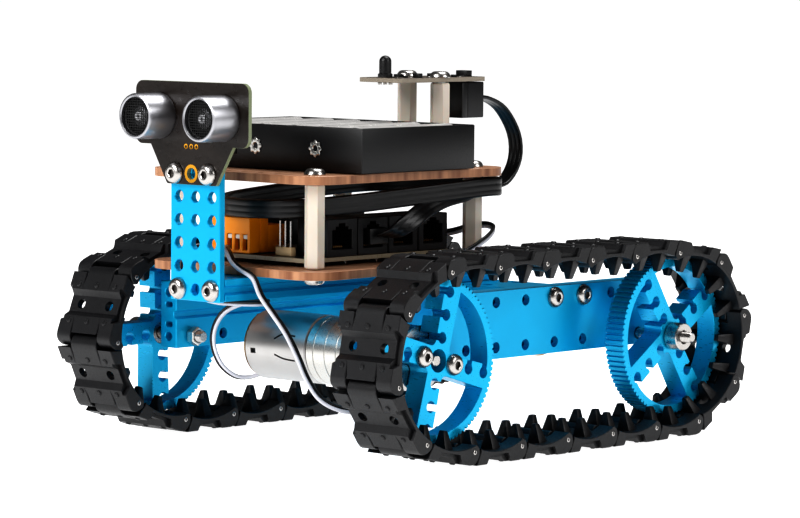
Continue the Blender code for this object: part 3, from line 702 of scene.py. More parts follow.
def spring(name, x, wall, cell_end, turns=2.6, steps=18):
    """Conical contact spring between a wall and the flat end of a cell."""
    count = int(turns * steps)
    points = []
    for share in (k / count for k in range(count + 1)):
        radius, turn = 5.6 - 2.6 * share, 2 * pi * turns * share + pi / 2
        y = wall + (cell_end - wall) * (0.12 + 0.76 * share)
        points.append(Vector((x + radius * cos(turn), y, cell_z + radius * sin(turn))))
    keep(name, swept(points, circle((0, 0), 0.28, 8), lambda k: Vector((0, 1, 0))), STEEL, degrees=60)


for k, x in enumerate(cell_x):
    ends = (tray_low.y + WALL, cell_low.y) if k % 2 else (tray_high.y - WALL, cell_high.y)
    spring(f"contact_spring_{k + 1}", x, *ends)

# ---- sockets and small board parts ----------------------------------------------------------------------


def jack(name, width, height, depth, at, turn, node):
    """Six-way modular socket: its mouth faces the turn's +Z at the point `at`, its latch notch its +Y."""
    w, h = width / 2, height / 2
    half = [(4.9, -3.9), (4.9, 2.7), (3.1, 2.7), (3.1, 3.8), (1.6, 3.8), (1.6, 4.9)]
    mouth = [(-4.9, -3.9)] + half + [(-x, y) for x, y in reversed(half[1:])]
    front = slab([rounded((-w, -h), (w, h), 0.5, 3), mouth], -depth + 3, 0)
    back = block((-w, -h, -depth), (w, h, -depth + 3.1), 0.3)
    matrix = Matrix.Translation(at) @ turn
    keep(name, moved(joined(front, back), matrix), CASE, node)
    wires = [block((1.02 * (k - 2.5) - 0.2, -3.6, -depth + 3.2), (1.02 * (k - 2.5) + 0.2, -2.9, -2.6), 0.1, 1)
             for k in range(6)]
    keep(f"{name}_contacts", moved(joined(*wires), matrix), BRONZE)


def chips(name, parts, z, material=CASE, up=1):
    """Small parts on a board: (x, y, width, length, height) each."""
    shapes = [block((x - w / 2, y - l / 2, min(z, z + up * h)),
                    (x + w / 2, y + l / 2, max(z, z + up * h)), 0.12) for x, y, w, l, h in parts]
    keep(name, joined(*shapes), material)


# ---- ultrasonic sensor ----------------------------------------------------------------------------------

low, high = span("ultrasonic_board")
BOARD_Y = low.y
CORNER, NECK_X, SHOULDER_X, BODY_Z = 3.2, 12.3, 20.0, 108.6
rim = [(NECK_X - 0.6, low.z), (NECK_X, low.z + 0.6), (SHOULDER_X, BODY_Z)]
rim += arc((high.x - CORNER, BODY_Z + CORNER), CORNER, 270, 360, 7)
rim += arc((high.x - CORNER, high.z - CORNER), CORNER, 0, 90, 7)
rim += [(-x, z) for x, z in reversed(rim)]
holes = [circle((GRID * k, TOP_HOLE_Z), HOLE_R, 28) for k in (-1, 0, 1)]
keep("ultrasonic_circuit", slab([rim] + holes, -high.y, -low.y, FRONTAL, edge=0.08), SENSOR_BOARD,
     "ultrasonic_board")
pads = [(0, TOP_HOLE_Z, 2.05, 3.15)] + [(x, 108.3, 0.5, 0.9) for x in (-2.6, 0, 2.5)]
rings = [turned([(0, inner), (0.08, inner), (0.1, outer), (0, outer)], (x, BOARD_Y, z), FORWARD, 32,
                ring=True) for x, z, inner, outer in pads]
keep("ultrasonic_gold_rings", joined(*rings), GOLD)
for k in (-1, 1):
    screw(f"ultrasonic_screw_{(k + 3) // 2}", LONG_SCREW, (GRID * k, BOARD_Y, TOP_HOLE_Z), FORWARD, 0.4 * k)
backs = [block((x - w / 2, high.y, z - h / 2), (x + w / 2, high.y + 1.1, z + h / 2), 0.12)
         for x, z, w, h in ((-17, 124, 6, 5), (15, 124, 7, 5), (-19, 114, 3, 2), (18, 115, 4, 3),
                            (-13, 113, 2, 1.2), (12.5, 112, 2, 1.2))]
keep("ultrasonic_chips", joined(*backs), CASE)
low, high = span("ultrasonic_socket")
jack("ultrasonic_jack", *(high - low), ((low.x + high.x) / 2, (low.y + high.y) / 2, low.z),
     Matrix.Rotation(pi, 4, "X"), "ultrasonic_socket")

for side_name, side in SIDES:
    low, high = span(f"{side_name}_ultrasonic_eye")
    base = Vector(((low.x + high.x) / 2, BOARD_Y, (low.z + high.z) / 2))
    long, radius = base.y - low.y, (high.x - low.x) / 2
    can = [(0.05, 0), (0.05, radius - 0.15), (0.5, radius), (1.1, radius - 0.05), (long - 0.9, radius - 0.05),
           (long - 0.25, radius - 0.3), (long, radius - 0.75), (long, radius - 1.0),
           (long - 0.35, radius - 1.35), (long - 3.6, radius - 1.4), (long - 3.6, 0)]
    keep(f"{side_name}_eye_can", turned(can, base, FORWARD, 72), SENSOR_CAN, f"{side_name}_ultrasonic_eye",
         degrees=28)
    inset = radius - 1.5
    # The near-black well lining the can's mouth is painted shade in the recess
    well = [(long - 3.55, 0), (long - 3.55, inset), (long - 1.7, inset), (long - 1.9, inset - 0.5),
            (long - 3.1, inset - 1.0), (long - 3.1, 0)]
    keep(f"{side_name}_eye_well", turned(well, base, FORWARD, 64), DARK_AND_SHADE)
    cone = [(long - 3.1, 0), (long - 3.1, 3.4), (long - 2.9, 3.4), (long - 1.5, 1.2), (long - 1.6, 0.8),
            (long - 2.1, 0)]
    keep(f"{side_name}_eye_cone", turned(cone, base, FORWARD), SENSOR_CONE)
    chords = [(0.9 * k, sqrt(inset ** 2 - (0.9 * k) ** 2) - 0.1) for k in range(-6, 7)]
    wires = [bar(base + Vector((0, 1.6 - long, z)), (2 * half, 0.2, 0.24), 0) for z, half in chords]
    wires += [bar(base + Vector((x, 1.8 - long, 0)), (0.24, 0.2, 2 * half), 0) for x, half in chords]
    keep(f"{side_name}_eye_grille", joined(*wires), DARK_AND_SHADE)

# ---- infrared receiver ----------------------------------------------------------------------------------

low, high = span("ir_board")
ir_posts = {name: middle(f"{name}_ir_standoff") for name in ("left", "right")}
outlines = [rounded((low.x, low.y), (high.x, high.y), 1.3)]
outlines += [circle((spot.x, spot.y), HOLE_R) for spot in ir_posts.values()]
keep("ir_circuit", slab(outlines, low.z, high.z, edge=0.08), MODULE_BOARD, "ir_board")
for name, spot in ir_posts.items():
    post(f"{name}_ir_standoff")
    screw(f"{name}_ir_screw", SHORT_SCREW, (spot.x, spot.y, high.z), UP)
chips("ir_chips", [(15, -13, 3, 2, 1.6), (11, -15, 1.6, 0.8, 0.6), (5, -12, 2.2, 3.4, 1.1),
                   (15.5, 6, 2, 1.2, 0.9), (3, 8, 3, 2, 1), (12, 15.5, 5, 3.2, 2.2),
                   (4.5, 15, 1.6, 0.8, 0.6), (8, 2.5, 2, 1.2, 0.8)], high.z)
chips("ir_pads", [(8, -18.6, 5.4, 1.0, 0.35), (15.6, 10, 1, 2.4, 0.35), (1, 11.5, 1, 2.4, 0.35),
                  (16.6, -8.5, 1.4, 1.2, 0.5)], high.z, STEEL)
chips("ir_solder", [(5.4, -22.6, 1.1, 1.1, 0.9), (8, -22.6, 1.1, 1.1, 0.9), (10.6, -22.6, 1.1, 1.1, 0.9),
                    (3, -14, 1.4, 1, 0.5)], low.z, STEEL, -1)
low, high = span("ir_receiver")
tall = high.z - low.z
dome = [(tall - 2.2 + 2.2 * sin(t), 2.2 * cos(t)) for t in (radians(10 * k) for k in range(9))]
keep("ir_dome", turned([(0, 0), (0, 2.65), (1.1, 2.65), (1.3, 2.2)] + dome + [(tall, 0)],
                       ((low.x + high.x) / 2, (low.y + high.y) / 2, low.z), UP, 40), CASE, "ir_receiver")
low, high = span("ir_socket")
jack("ir_jack", high.x - low.x, high.z - low.z, high.y - low.y,
     ((low.x + high.x) / 2, high.y, (low.z + high.z) / 2), HALF_TURN @ FRONTAL, "ir_socket")

# ---- controller -----------------------------------------------------------------------------------------

low, high = span("control_board")
BOARD_TOP = high.z
outlines = [rounded((low.x, low.y), (high.x, high.y), 2.0)]
outlines += [circle((x, y), 1.6, 20) for x in (-9, 9) for y in (-78, -20)]
keep("control_circuit", slab(outlines, low.z, high.z, edge=0.08), CONTROL_BOARD, "control_board")
chips("control_chips", [(0, -48, 10, 10, 1.4), (-4, -30, 5, 6, 1.5), (5, -62, 4, 3, 1.2),
                        (8, -35, 2, 1.2, 0.7), (-8, -60, 2, 1.2, 0.7), (6, -24, 3.5, 3.5, 2)], BOARD_TOP)
chips("control_crystal", [(2, -36, 4.5, 11, 3.4), (0, -66, 7.5, 5.6, 2.9)], BOARD_TOP, ZINC)
chips("board_pins", [(x, y, 0.7, 0.7, 1.3) for x in (-24, -20, -16, 16, 20, 24)
                     for y in (-76, -60, -44, -28, -14)], low.z, STEEL, -1)
for row, count, turn in (("left_socket_row", 4, ACROSS), ("right_socket_row", 3, HALF_TURN @ ACROSS)):
    low, high = span(row)
    pitch = (high.y - low.y) / count
    face = high.x if turn == ACROSS else low.x
    for k in range(count):
        jack(f"{row}_{k + 1}", pitch - 0.5, high.z - BOARD_TOP, high.x - low.x,
             (face, low.y + pitch * (k + 0.5), (BOARD_TOP + high.z) / 2), turn, row)

low, high = span("motor_terminal")
STEP_Y, STEP_Z = low.y + 9.5, high.z - 2.8
entry_x = [high.x - 2.4 - 3.8 * k for k in range(4)]
outlines = [rounded((low.x, low.z), (high.x, high.z), 0.5, 3)]
outlines += [rounded((x - 1.15, low.z + 1.0), (x + 1.15, low.z + 6.6), 0.3, 2) for x in entry_x]
keep("terminal_body", joined(slab(outlines, -low.y - 5.5, -low.y, FRONTAL),
                             block((low.x, low.y + 5.4, low.z), (high.x, STEP_Y, high.z), 0.4),
                             block((low.x, STEP_Y - 0.5, low.z), (high.x, high.y, STEP_Z), 0.4)), ORANGE,
     "motor_terminal")
levers = [block((x - 1.0, low.y + 0.4, low.z + 4.9), (x + 1.0, low.y + 2.2, low.z + 6.4), 0.2)
          for x in entry_x]
keep("terminal_levers", joined(*levers), PALE)
# Dark blocks inside the four wire entries: painted shade in the openings
throats = [block((x - 1.1, low.y + 2.0, low.z + 1.1), (x + 1.1, low.y + 5.2, low.z + 4.9), 0)
           for x in entry_x]
keep("terminal_throats", joined(*throats), DARK_AND_SHADE)
HEADER = Vector((10.5, low.y + 6.3, BOARD_TOP))
keep("pin_header", bar(HEADER + Vector((0, 0, 1.5)), (7.6, 2.5, 3.0), 0.25), BEIGE)
keep("header_pins", joined(*[bar(HEADER + Vector((2.54 * k, 0, 7.55)), (0.64, 0.64, 9.3), 0.12, 1)
                             for k in (-1, 0, 1)]), STEEL)

low, high = span("power_switch")
left, right = low.x - 0.4, high.x + 2.4
outlines = [rounded((left - 1.4, low.y - 1.3), (right + 1.4, high.y + 0.8), 0.4, 2)]
outlines += [rounded((left, low.y - 0.2), (right, high.y + 0.2), 0.2, 2)]
keep("switch_frame", slab(outlines, BOARD_TOP, low.z + 2.2), ZINC)
ridges = [block((low.x + 1.0 + 0.7 * k, low.y + 1.0, high.z - 0.3),
                (low.x + 1.35 + 0.7 * k, high.y - 1.0, high.z), 0.08, 1) for k in range(3)]
foot = block(low, (high.x, high.y, low.z + 1.8), 0.2)
grip = block((low.x + 0.6, low.y + 0.9, low.z + 1.7), (high.x - 0.6, high.y - 0.9, high.z), 0.3)
keep("switch_knob", joined(foot, grip, *ridges), CASE, "power_switch", "switch")
keep("battery_socket", block((16.5, -9.8, 70.2), (24.5, -6.8, 78.6), 0.3), CASE)

# ---- motors, brackets, hubs and pulleys -----------------------------------------------------------------

VENTS = (((14.9, 17), (18.7, 26), (24.6, 24)), ((15.3, -9), (19.6, -15), (24.9, -17)),
         ((14.9, 197), (18.7, 206), (24.6, 204)), ((15.3, 171), (19.6, 165), (24.9, 163)))   # along, degrees
SLIT = [(-1.5, -0.32), (1.5, -0.32), (1.5, 0.32), (-1.5, 0.32)]
NOTCH_TURN = radians(-6)
BOLT_TURNS = [pi * k / 3 + pi / 6 for k in range(6)]
BOLT = [(0, 0), (0, 1.5), (0.9, 1.5), (1.2, 1.2), (1.2, hexed(0.7)), (0.7, hexed(0.7)), (0.7, 0)]


def motor(side_name, side):
    """Gearmotor: steel can with two pairs of slits, bronze rear ring, zinc gearbox."""
    at_y, out, node = -side * AXLE_Y, (side, 0, 0), f"{side_name}_motor"
    rear, long, radius = running(node, side, at_y)
    core_r = radius - 1.05
    shell = turned([(0.9, radius - 1.0), (0.9, radius - 0.3), (1.3, radius), (long - 0.4, radius),
                    (long, radius - 0.4), (long, radius - 1.0)], rear, out, 96, ring=True)
    for vent in VENTS:
        run = [Vector((rear.x + side * along, at_y - radius * cos(turn), AXLE_Z + radius * sin(turn)))
               for along, turn in ((p.x, radians(p.y)) for p in smooth_route([(*p, 0) for p in vent], 1.0))]
        shell = combined(shell, swept(run, SLIT, lambda k: Vector((0, run[k].y - at_y, run[k].z - AXLE_Z))))
    spot = rear + Vector((side * 4.9, -radius * cos(NOTCH_TURN), radius * sin(NOTCH_TURN)))
    notch = moved(bar((0, 0, 0), (2.4, 1.8, 3.2), 0),
                  Matrix.Translation(spot) @ Matrix.Rotation(NOTCH_TURN - pi / 2, 4, "X"))
    keep(f"{node}_can", combined(shell, notch), CAN, node)
    # The near-black core inside the can is painted shade, seen through the slits
    core = [(0.3, 0), (0.3, radius - 1.7), (1.1, core_r), (long - 0.05, core_r), (long - 0.05, 0)]
    keep(f"{node}_core", turned(core, rear, out, 64), DARK_AND_SHADE)
    ring = [(0, radius - 1.6), (0, radius - 0.5), (0.9, radius - 0.2), (0.9, radius - 1.6)]
    keep(f"{node}_ring", turned(ring, rear, out, 64, ring=True), BRONZE)
    boss = [(-0.1, 0), (-0.1, 1.0), (0.1, 1.1), (0.1, 3.6), (0.5, 3.9), (0.5, 0)]
    keep(f"{node}_boss", turned(boss, rear, out, 40), CAN)
    tabs = [bar(rear + Vector((-side * 1.4, -1, z)), (3.2, 2.6, 0.5), 0.08) for z in (-10.4, 10.2)]
    keep(f"{node}_tabs", joined(*tabs), BRONZE)

    node = f"{side_name}_gearbox"
    start, long, _ = running(node, side, at_y)
    profile = [(0, 0), (0, radius - 0.5), (0.3, radius - 0.1)]
    for seam in (3.6, 9.0, 14.4, long - 2.4):
        profile += [(seam - 0.25, radius - 0.1), (seam - 0.1, radius - 0.4), (seam + 0.1, radius - 0.4),
                    (seam + 0.25, radius - 0.1)]
    profile += [(long - 0.3, radius - 0.1), (long, radius - 0.5), (long, 0)]
    keep(f"{node}_rings", turned(profile, start, out, 80), ZINC, node)

    node = f"{side_name}_motor_bracket"
    low, high = span(node)
    inner, outer = (low.x, high.x) if side > 0 else (high.x, low.x)
    front, half = inner + side * 2.7, (high.y - low.y) / 2
    outlines = [rounded((-half, low.z - AXLE_Z), (half, high.z - AXLE_Z), 1.5, 4), circle((0, 0), 4.0, 40)]
    outlines += [circle((8 * cos(t), 8 * sin(t)), 1.6, 20) for t in BOLT_TURNS]
    web = slab(outlines, min(inner, front), max(inner, front), ACROSS, (0, at_y, AXLE_Z))
    near, far = sorted((side * 43.2, outer))
    foot = slab([rounded((near, -11.5), (far, 11.5), 0.6, 2)], AXLE_Z + 8.5, high.z - 0.5, at=(0, at_y, 0))
    keep(f"{side_name}_bracket_web", joined(web, foot), BLUE, node)
    for k, turn in enumerate(BOLT_TURNS[bolt] for bolt in (1, 2, 4, 5)):
        keep(f"{side_name}_gearbox_screw_{k + 1}",
             turned(BOLT, (front, at_y + 8 * cos(turn), AXLE_Z + 8 * sin(turn)), out, 24), ZINC)


TEETH, TOOTH_DEPTH, TIP_GAP = 90, 0.75, 0.15    # the tips stay this far inside the frame's pulley
RIM_R, HUB_R, CORNER_R = 25.4, 4.0, 2.2         # outer side of the windows, centre hole, windows' corners
TOOTH_SIDE, SMOOTH_SIDE, SLOT = 3.0, 4.6, 1.2   # half a spoke on its slotted and smooth sides, half a slot


def pulley_profile(reach):
    """Toothed rim, four windows and centre hole; keyholes open each spoke towards its next window."""
    root = reach - TOOTH_DEPTH
    rim = []
    for k in range(TEETH):
        for share, radius in ((-0.27, reach), (0.27, reach), (0.40, root), (0.60, root)):
            turn = 2 * pi * (k + share) / TEETH
            rim.append((radius * cos(turn), radius * sin(turn)))
    mouth = degrees(asin(sqrt(HOLE_R ** 2 - SLOT ** 2) / HOLE_R))
    window = arc((SMOOTH_SIDE + CORNER_R, TOOTH_SIDE + CORNER_R), CORNER_R, 180, 270, 5)
    for k in (1, 2, 3):
        if GRID * k - SLOT > SMOOTH_SIDE + CORNER_R + 0.2:
            window.append((GRID * k - SLOT, TOOTH_SIDE))
        window += arc((GRID * k, 0), HOLE_R, 180 - mouth, 360 + mouth, 14)
        window.append((GRID * k + SLOT, TOOTH_SIDE))
    first, last = degrees(asin(TOOTH_SIDE / RIM_R)) + 3, degrees(acos(SMOOTH_SIDE / RIM_R)) - 2
    window += arc((0, 0), RIM_R, first, last, 24)
    quarters = [[(x * cos(a) - y * sin(a), x * sin(a) + y * cos(a)) for x, y in window]
                for a in (pi / 2 * quarter for quarter in range(4))]
    return [rim, circle((0, 0), HUB_R, 48)] + quarters


low, high = span("left_drive_pulley")
PULLEY_HALF = (high.x - low.x) / 2
outlines = pulley_profile((high.z - low.z) / 2 - TIP_GAP)
PULLEY = pattern("pulley_90_teeth", slab(outlines, -PULLEY_HALF, PULLEY_HALF, ACROSS, edge=0.1), BLUE_CUT, 25)
TURNS = {"left_drive": -0.24, "left_idler": 2.19, "right_drive": 0.60, "right_idler": 0.04}
for side_name, side in SIDES:
    out = (side, 0, 0)
    motor(side_name, side)
    for kind, end in (("drive", -side), ("idler", side)):
        body = f"{side_name}_{kind}"
        turn = TURNS[body]
        centre = Vector((side * TRACK_X, end * AXLE_Y, AXLE_Z))
        place(f"{body}_pulley_rim", PULLEY, centre, Matrix.Rotation(turn, 4, "X"), f"{body}_pulley", body)
        for k in (-1, 1) if kind == "drive" else ():
            spot = centre + Vector((side * PULLEY_HALF, k * GRID * cos(turn), k * GRID * sin(turn)))
            screw(f"{body}_screw_{(k + 3) // 2}", LONG_SCREW, spot, out, 0.3 + k, body)

    start, long, flange_r = running(f"{side_name}_drive_hub", side, -side * AXLE_Y)
    seat = TRACK_X - PULLEY_HALF - 0.3 - abs(start.x)
    shaft = turned([(0, 0), (0, 2), (long - 0.3, 2), (long, 1.7), (long, 0)], start, out, 40)
    flat_cut = bar(start + Vector((side * (long - 5), 0, 2.75)), (14, 6, 2.5), 0)
    flange = [(seat - 7, 2.05), (seat - 7, 4.6), (seat - 6.6, 5), (seat - 6, 5), (seat - 6, flange_r - 0.4),
              (seat - 5.6, flange_r), (seat - 0.4, flange_r), (seat, flange_r - 0.4), (seat, 2.05)]
    boss = turned(flange, start, out, 64, ring=True)
    keep(f"{side_name}_drive_shaft", joined(combined(shaft, flat_cut), boss), STEEL, f"{side_name}_drive_hub",
         f"{side_name}_drive")

    at_y = side * AXLE_Y
    node = f"{side_name}_idler_bearing"
    start, long, outer = running(node, 1, at_y)
    ring = [(0, 2.35), (0, 2.9), (0.3, 2.9), (0.3, 3.2), (0, 3.2), (0, outer), (long, outer), (long, 3.2),
            (long - 0.3, 3.2), (long - 0.3, 2.9), (long, 2.9), (long, 2.35)]
    keep(f"{side_name}_bearing_ring", turned(ring, start, ALONG_X, ring=True), STEEL, node,
         f"{side_name}_idler")
    node = f"{side_name}_idler_axle"
    start, long, _ = running(node, side, at_y)
    thread = [(0, 0), (0, 1.6)]
    plain, tip = [(7.5, 1.98), (long - 4.6, 1.98), (long - 4.5, 1.9)], [(long, 1.5), (long, 0)]
    for first, count, after in ((0.3, 10, plain), (long - 4.2, 6, tip)):
        for x in (first + 0.7 * k for k in range(count)):
            thread += [(x, 1.98), (x + 0.35, 1.68)]
        thread += after
    keep(f"{side_name}_axle_rod", turned(thread, start, out, 32), STEEL, node, degrees=20)
    node = f"{side_name}_axle_nut"
    start, long, reach = running(node, 1, at_y)
    tip, flat = hexed(reach * cos(pi / 6) - 0.35), hexed(reach * cos(pi / 6))
    nut = [(0, 2.3), (0, tip), (0.35, flat), (long - 0.35, flat), (long, tip), (long, 2.3)]
    keep(f"{side_name}_axle_hex_nut", turned(nut, start, ALONG_X, ring=True), ZINC, node, degrees=20)
    node = f"{side_name}_axle_collar"
    start, long, reach = running(node, side, at_y)
    collar = turned([(0, 2.3), (0, reach - 0.3), (0.3, reach), (long - 0.3, reach), (long, reach - 0.3),
                     (long, 2.7), (long - 0.3, 2.3)], start, out, 72, ring=True)
    spot = start + Vector((side * long / 2, 0, 0))
    keep(f"{node}_ring", combined(collar, turned([(2.6, 1.25), (7, 1.25)], spot, UP, 24)), STEEL, node)
    grub = [(2.6, 0), (2.6, 1.2), (4.4, 1.2), (4.4, hexed(0.7)), (3.4, hexed(0.7)), (3.4, 0)]
    keep(f"{side_name}_collar_set_screw", turned(grub, spot, UP, 24), DARK_AND_SHADE)

# ---- tracks ---------------------------------------------------------------------------------------------

LINKS, PIN_R, TRACK_W = 18, 31.3, 28.0
STRAIGHT, BEND = 2 * AXLE_Y, pi * PIN_R
PATH_LENGTH = 2 * (STRAIGHT + BEND)
INNER_R = 29.25                                # the links' inner faces about an axle
PAD_H, RECESS_H, STUD_H = 4.7, 2.8, 5.2        # heights outside the pin line
HORN_TALL = 6.3                                # above the link's inner surface


def pin_line(s):
    """Point (y, z) of the pin line at the distance s along it, from under the front axle."""
    half, rest = divmod(s % PATH_LENGTH, STRAIGHT + BEND)
    way = -1 if half else 1                     # the upper half is the lower half, turned about the middle
    turn = max(0, rest - STRAIGHT) / PIN_R - pi / 2
    y = min(rest, STRAIGHT) - AXLE_Y + PIN_R * cos(turn)
    return Vector((way * y, AXLE_Z + way * PIN_R * sin(turn)))


def bisect(is_low, low, high, rounds=40):
    for _ in range(rounds):
        guess = (low + high) / 2
        low, high = (guess, high) if is_low(guess) else (low, guess)
    return (low + high) / 2


def march(pitch, start):
    """Distances along the pin line of LINKS + 1 pins that are one pitch apart."""
    places = [start]
    for _ in range(LINKS):
        here = places[-1]
        point = pin_line(here)
        places.append(bisect(lambda s: (pin_line(s) - point).length < pitch, here, here + 1.5 * pitch))
    return places


def pins(first_y):
    """The pins of a closed track whose first pin is at first_y on the ground run, and the pitch."""
    start = first_y + AXLE_Y
    pitch = bisect(lambda p: march(p, start)[-1] < start + PATH_LENGTH,
                   0.9 * PATH_LENGTH / LINKS, 1.05 * PATH_LENGTH / LINKS)
    return [pin_line(s) for s in march(pitch, start)[:-1]], pitch


def link(pitch):
    """One link, from its start pin at the origin: x along it, y across the track, z outward."""
    half = TRACK_W / 2
    chord = sqrt(PIN_R ** 2 - (pitch / 2) ** 2)

    def inner(u):
        return sqrt(INNER_R ** 2 - (pitch * (u - 0.5)) ** 2) - chord

    def recess(sink):
        return [(u * pitch, h - sink) for u, h in ((0.30, PAD_H), (0.38, RECESS_H), (0.62, RECESS_H),
                                                   (0.70, PAD_H))]

    lobe = [(pitch + u, h) for u, h in ((-1.6, PAD_H), (0.2, 4.4), (1.2, 3.8), (2.0, 2.8), (2.45, 1.6),
                                        (2.6, 0.4), (2.5, -0.8), (2.1, -1.6), (1.4, -2.3), (0.5, -2.6))]
    bottom = [(u * pitch, inner(u)) for u in (0.96 - 0.78 * k / 14 for k in range(15))] + [(3.3, inner(0.13))]
    tab = [(1.0, PAD_H)] + recess(0) + lobe + bottom + [(3.2, 0), (2.0, 2.4)]
    tongue = [(pitch - u, h) for u, h in reversed(tab)]
    core = [(3.4, 0.2), (2.9, PAD_H - 0.5)] + recess(0.02) + [(pitch - 2.9, PAD_H - 0.5), (pitch - 3.4, 0.2)]
    core += [(u * pitch, inner(u) + 0.02) for u in (0.86 - 0.72 * k / 10 for k in range(11))]
    body = slab([core], -7.4, 7.4, FRONTAL, edge=0.02)
    for outline, low, high in ((tab, -half, -7), (tab, 7, half), (tongue, -6.6, 6.6)):
        body = combined(body, slab([outline], low, high, FRONTAL), "UNION")
    cutters = [turned([(-4, 1.9), (6, 1.9)], (pitch / 2, w, 0), UP, 28) for w in (-7.2, 7.2)]
    pocket = [(0.22 * pitch, 6), (0.80 * pitch, 6), (0.70 * pitch, 1.6), (0.32 * pitch, 1.6)]
    cutters += [slab([pocket], low, high, FRONTAL, edge=0.02) for low, high in ((half - 1.6, half + 1),
                                                                              (-half - 1, 1.6 - half))]
    body = combined(body, joined(*cutters))
    stud = [(PAD_H - 0.3, 1.1), (STUD_H - 0.3, 1.05), (STUD_H, 0.7), (STUD_H, 0)]
    extras = [turned(stud, (u * pitch, w, 0), UP, 16) for u in (0.225, 0.775) for w in (-9.2, 0, 9.2)]
    for foot, tip in (((0.11, 0.27), (0.15, 0.235)), ((0.54, 0.73), (0.565, 0.655))):
        base = inner(sum(foot) / 2)
        for side in (-1, 1):
            horn = block((0, 0, 0), (1, 1, 1), 0)
            for vert in horn.verts:
                share_u, share_w, share_h = vert.co
                along, across = (foot, (4.4, 10.6)) if share_h else (tip, (5.9, 7.8))
                vert.co = (along[round(share_u)] * pitch, side * across[round(share_w)],
                           base + 1.0 if share_h else base - HORN_TALL)
            bmesh.ops.recalc_face_normals(horn, faces=horn.faces)
            extras.append(bevelled(horn, 0.3))
    return joined(body, *extras)


FIRST_PINS = {"left": -56.0, "right": -61.2}
LINK = pattern("track_link", link(pins(FIRST_PINS["left"])[1]), TRACK, 24)
pin_end = [(TRACK_W / 2 + x, r) for x, r in ((-0.1, 0.95), (0.1, 0.7), (0.1, 0.45), (-0.2, 0.35), (-0.2, 0))]
PIN = pattern("track_pin", turned([(-x, r) for x, r in reversed(pin_end)] + pin_end, steps=20), STEEL, 40)
for side_name, side in SIDES:
    link_pins, _ = pins(FIRST_PINS[side_name])
    for k, start in enumerate(link_pins):
        ahead = (link_pins[(k + 1) % LINKS] - start).normalized()
        axes = Matrix(((0, 1, 0), (ahead.x, 0, ahead.y), (ahead.y, 0, -ahead.x)))
        at = (side * TRACK_X, start.x, start.y)
        place(f"{side_name}_link_{k + 1}", LINK, at, axes, f"{side_name}_track")
        place(f"{side_name}_pin_{k + 1}", PIN, at, aim(ALONG_X))

# ---- cables ---------------------------------------------------------------------------------------------

FLAT_W, FLAT_T, LEAD_R = 6.6, 1.4, 0.65


def ribbon():
    """Section of the flat cable: round edges and two fine grooves on each face."""
    half, thick = (FLAT_W - FLAT_T) / 2, FLAT_T / 2
    right, left = arc((half, 0), thick, -90, 90, 6), arc((-half, 0), thick, 90, 270, 6)
    grooves = [(x, thick - sink) for x, sink in ((1.3, 0), (1.05, 0.07), (0.8, 0),
                                                 (-0.8, 0), (-1.05, 0.07), (-1.3, 0))]
    return right + grooves + left + [(-x, -y) for x, y in grooves]


def flat_cable(name, points, wide, node, *with_pieces):
    keep(name, swept(points, ribbon(), wide), CABLE, node, degrees=50)


def carried(points, side):
    """Directions across a line that turn with it."""
    sides = []
    for ahead in headings(points):
        side = square_to(side, ahead)
        sides.append(side)
    return sides


def twin_lead(name, node, side, route):
    """A white and a black core side by side."""
    points = smooth_route(route, 1.6)
    sides = carried(points, Vector(side))
    cores = []
    for index, offset in enumerate((-LEAD_R, LEAD_R)):
        cores.append(swept(points, circle((offset, 0), LEAD_R, 14), lambda k: sides[k]))
        for face in cores[-1].faces:
            face.material_index = index
    keep(name, joined(*cores), [LEAD_WHITE, CABLE], node, degrees=50)


def ramp(value, start, end):
    """From 0 at start to 1 at end."""
    return min(1, max(0, (value - start) / (end - start)))


# Flat cable out of the infrared module's socket, down behind the decks and up to the hoop
ir_points = smooth_route(((10, 21.1, 122.5), (10, 28, 122.6), (10.2, 38, 118.5), (10.5, 45.5, 109),
                          (10.8, 46, 99.5), (11, 40, 91.8), (11, 30, 88.4), (11, 17, 88.2),
                          (10.6, 12.6, 89.5)), 2.2)


def ir_wide(k):
    """Flat against its bend, then turned on edge over the last stretch before the hoop."""
    turn = ramp(ir_points[k].y, 38, 14) * pi / 2 if ir_points[k].z < 95 else 0
    return Vector((cos(turn), 0, sin(turn)))


low, high = span("ir_socket")
x = ir_points[0].x
ir_plug = keep("ir_plug", block((x - 4.7, high.y - 5, low.z + 3.3),
                                (x + 4.7, high.y + 1.2, high.z - 3.4), 0.4), CASE)
flat_cable("ir_flat_cable", ir_points, ir_wide, "ir_cable", ir_plug)

# The hoop of spare cable: two turns on edge, one inside the other, and the tail to the left sockets
# Its knots run from the rear, round by the left side and the front.
HOOP = [Vector(knot) for knot in (
    (22, 10.2, 92.0), (37.0, 5, 92.0), (38.7, -6, 92.0), (33, -36, 89.8), (27.3, -62, 87.8), (19, -80, 86.6),
    (4, -86, 86.2), (-13, -81, 86.2), (-24.5, -66, 86.8), (-26.5, -38, 88.6), (-25.3, -12, 90.2),
    (-20, 3.2, 91.0), (0, 7.2, 91.8))]
STEP_OUT = 1.5                                  # from one turn out to the next


def hoop_knots(first, last, out):
    """Knots of the hoop from one to another, moved outward."""
    moved_knots = []
    for k in range(first, last + 1):
        before, here, after = (HOOP[(j - 1) % len(HOOP)] for j in (k - 1, k, k + 1))
        ahead = (after - before).normalized()
        moved_knots.append(here + Vector((-ahead.y, ahead.x, 0)) * out)
    return moved_knots


lap = len(HOOP)
on_edge = Vector(UP)
outer_points = smooth_route([ir_points[-1], (13.6, 11.6, 90.8)] + hoop_knots(1, lap, STEP_OUT), 2.4)
inner_points = smooth_route([outer_points[-1]] + hoop_knots(lap + 1, 2 * lap, 0), 2.4)
tail = [(37.1, -12, 90.4), (36.5, -22, 88.6), (36.2, -31, 85.6), (37.2, -37, 83.4), (36.4, -43, 79.8),
        (33.6, -46.5, 77.2), (29.9, -47.5, 76.4)]
tail_points = smooth_route([inner_points[-1]] + hoop_knots(1, 3, -STEP_OUT) + tail, 2.0)
tail_sides = carried(tail_points, on_edge)


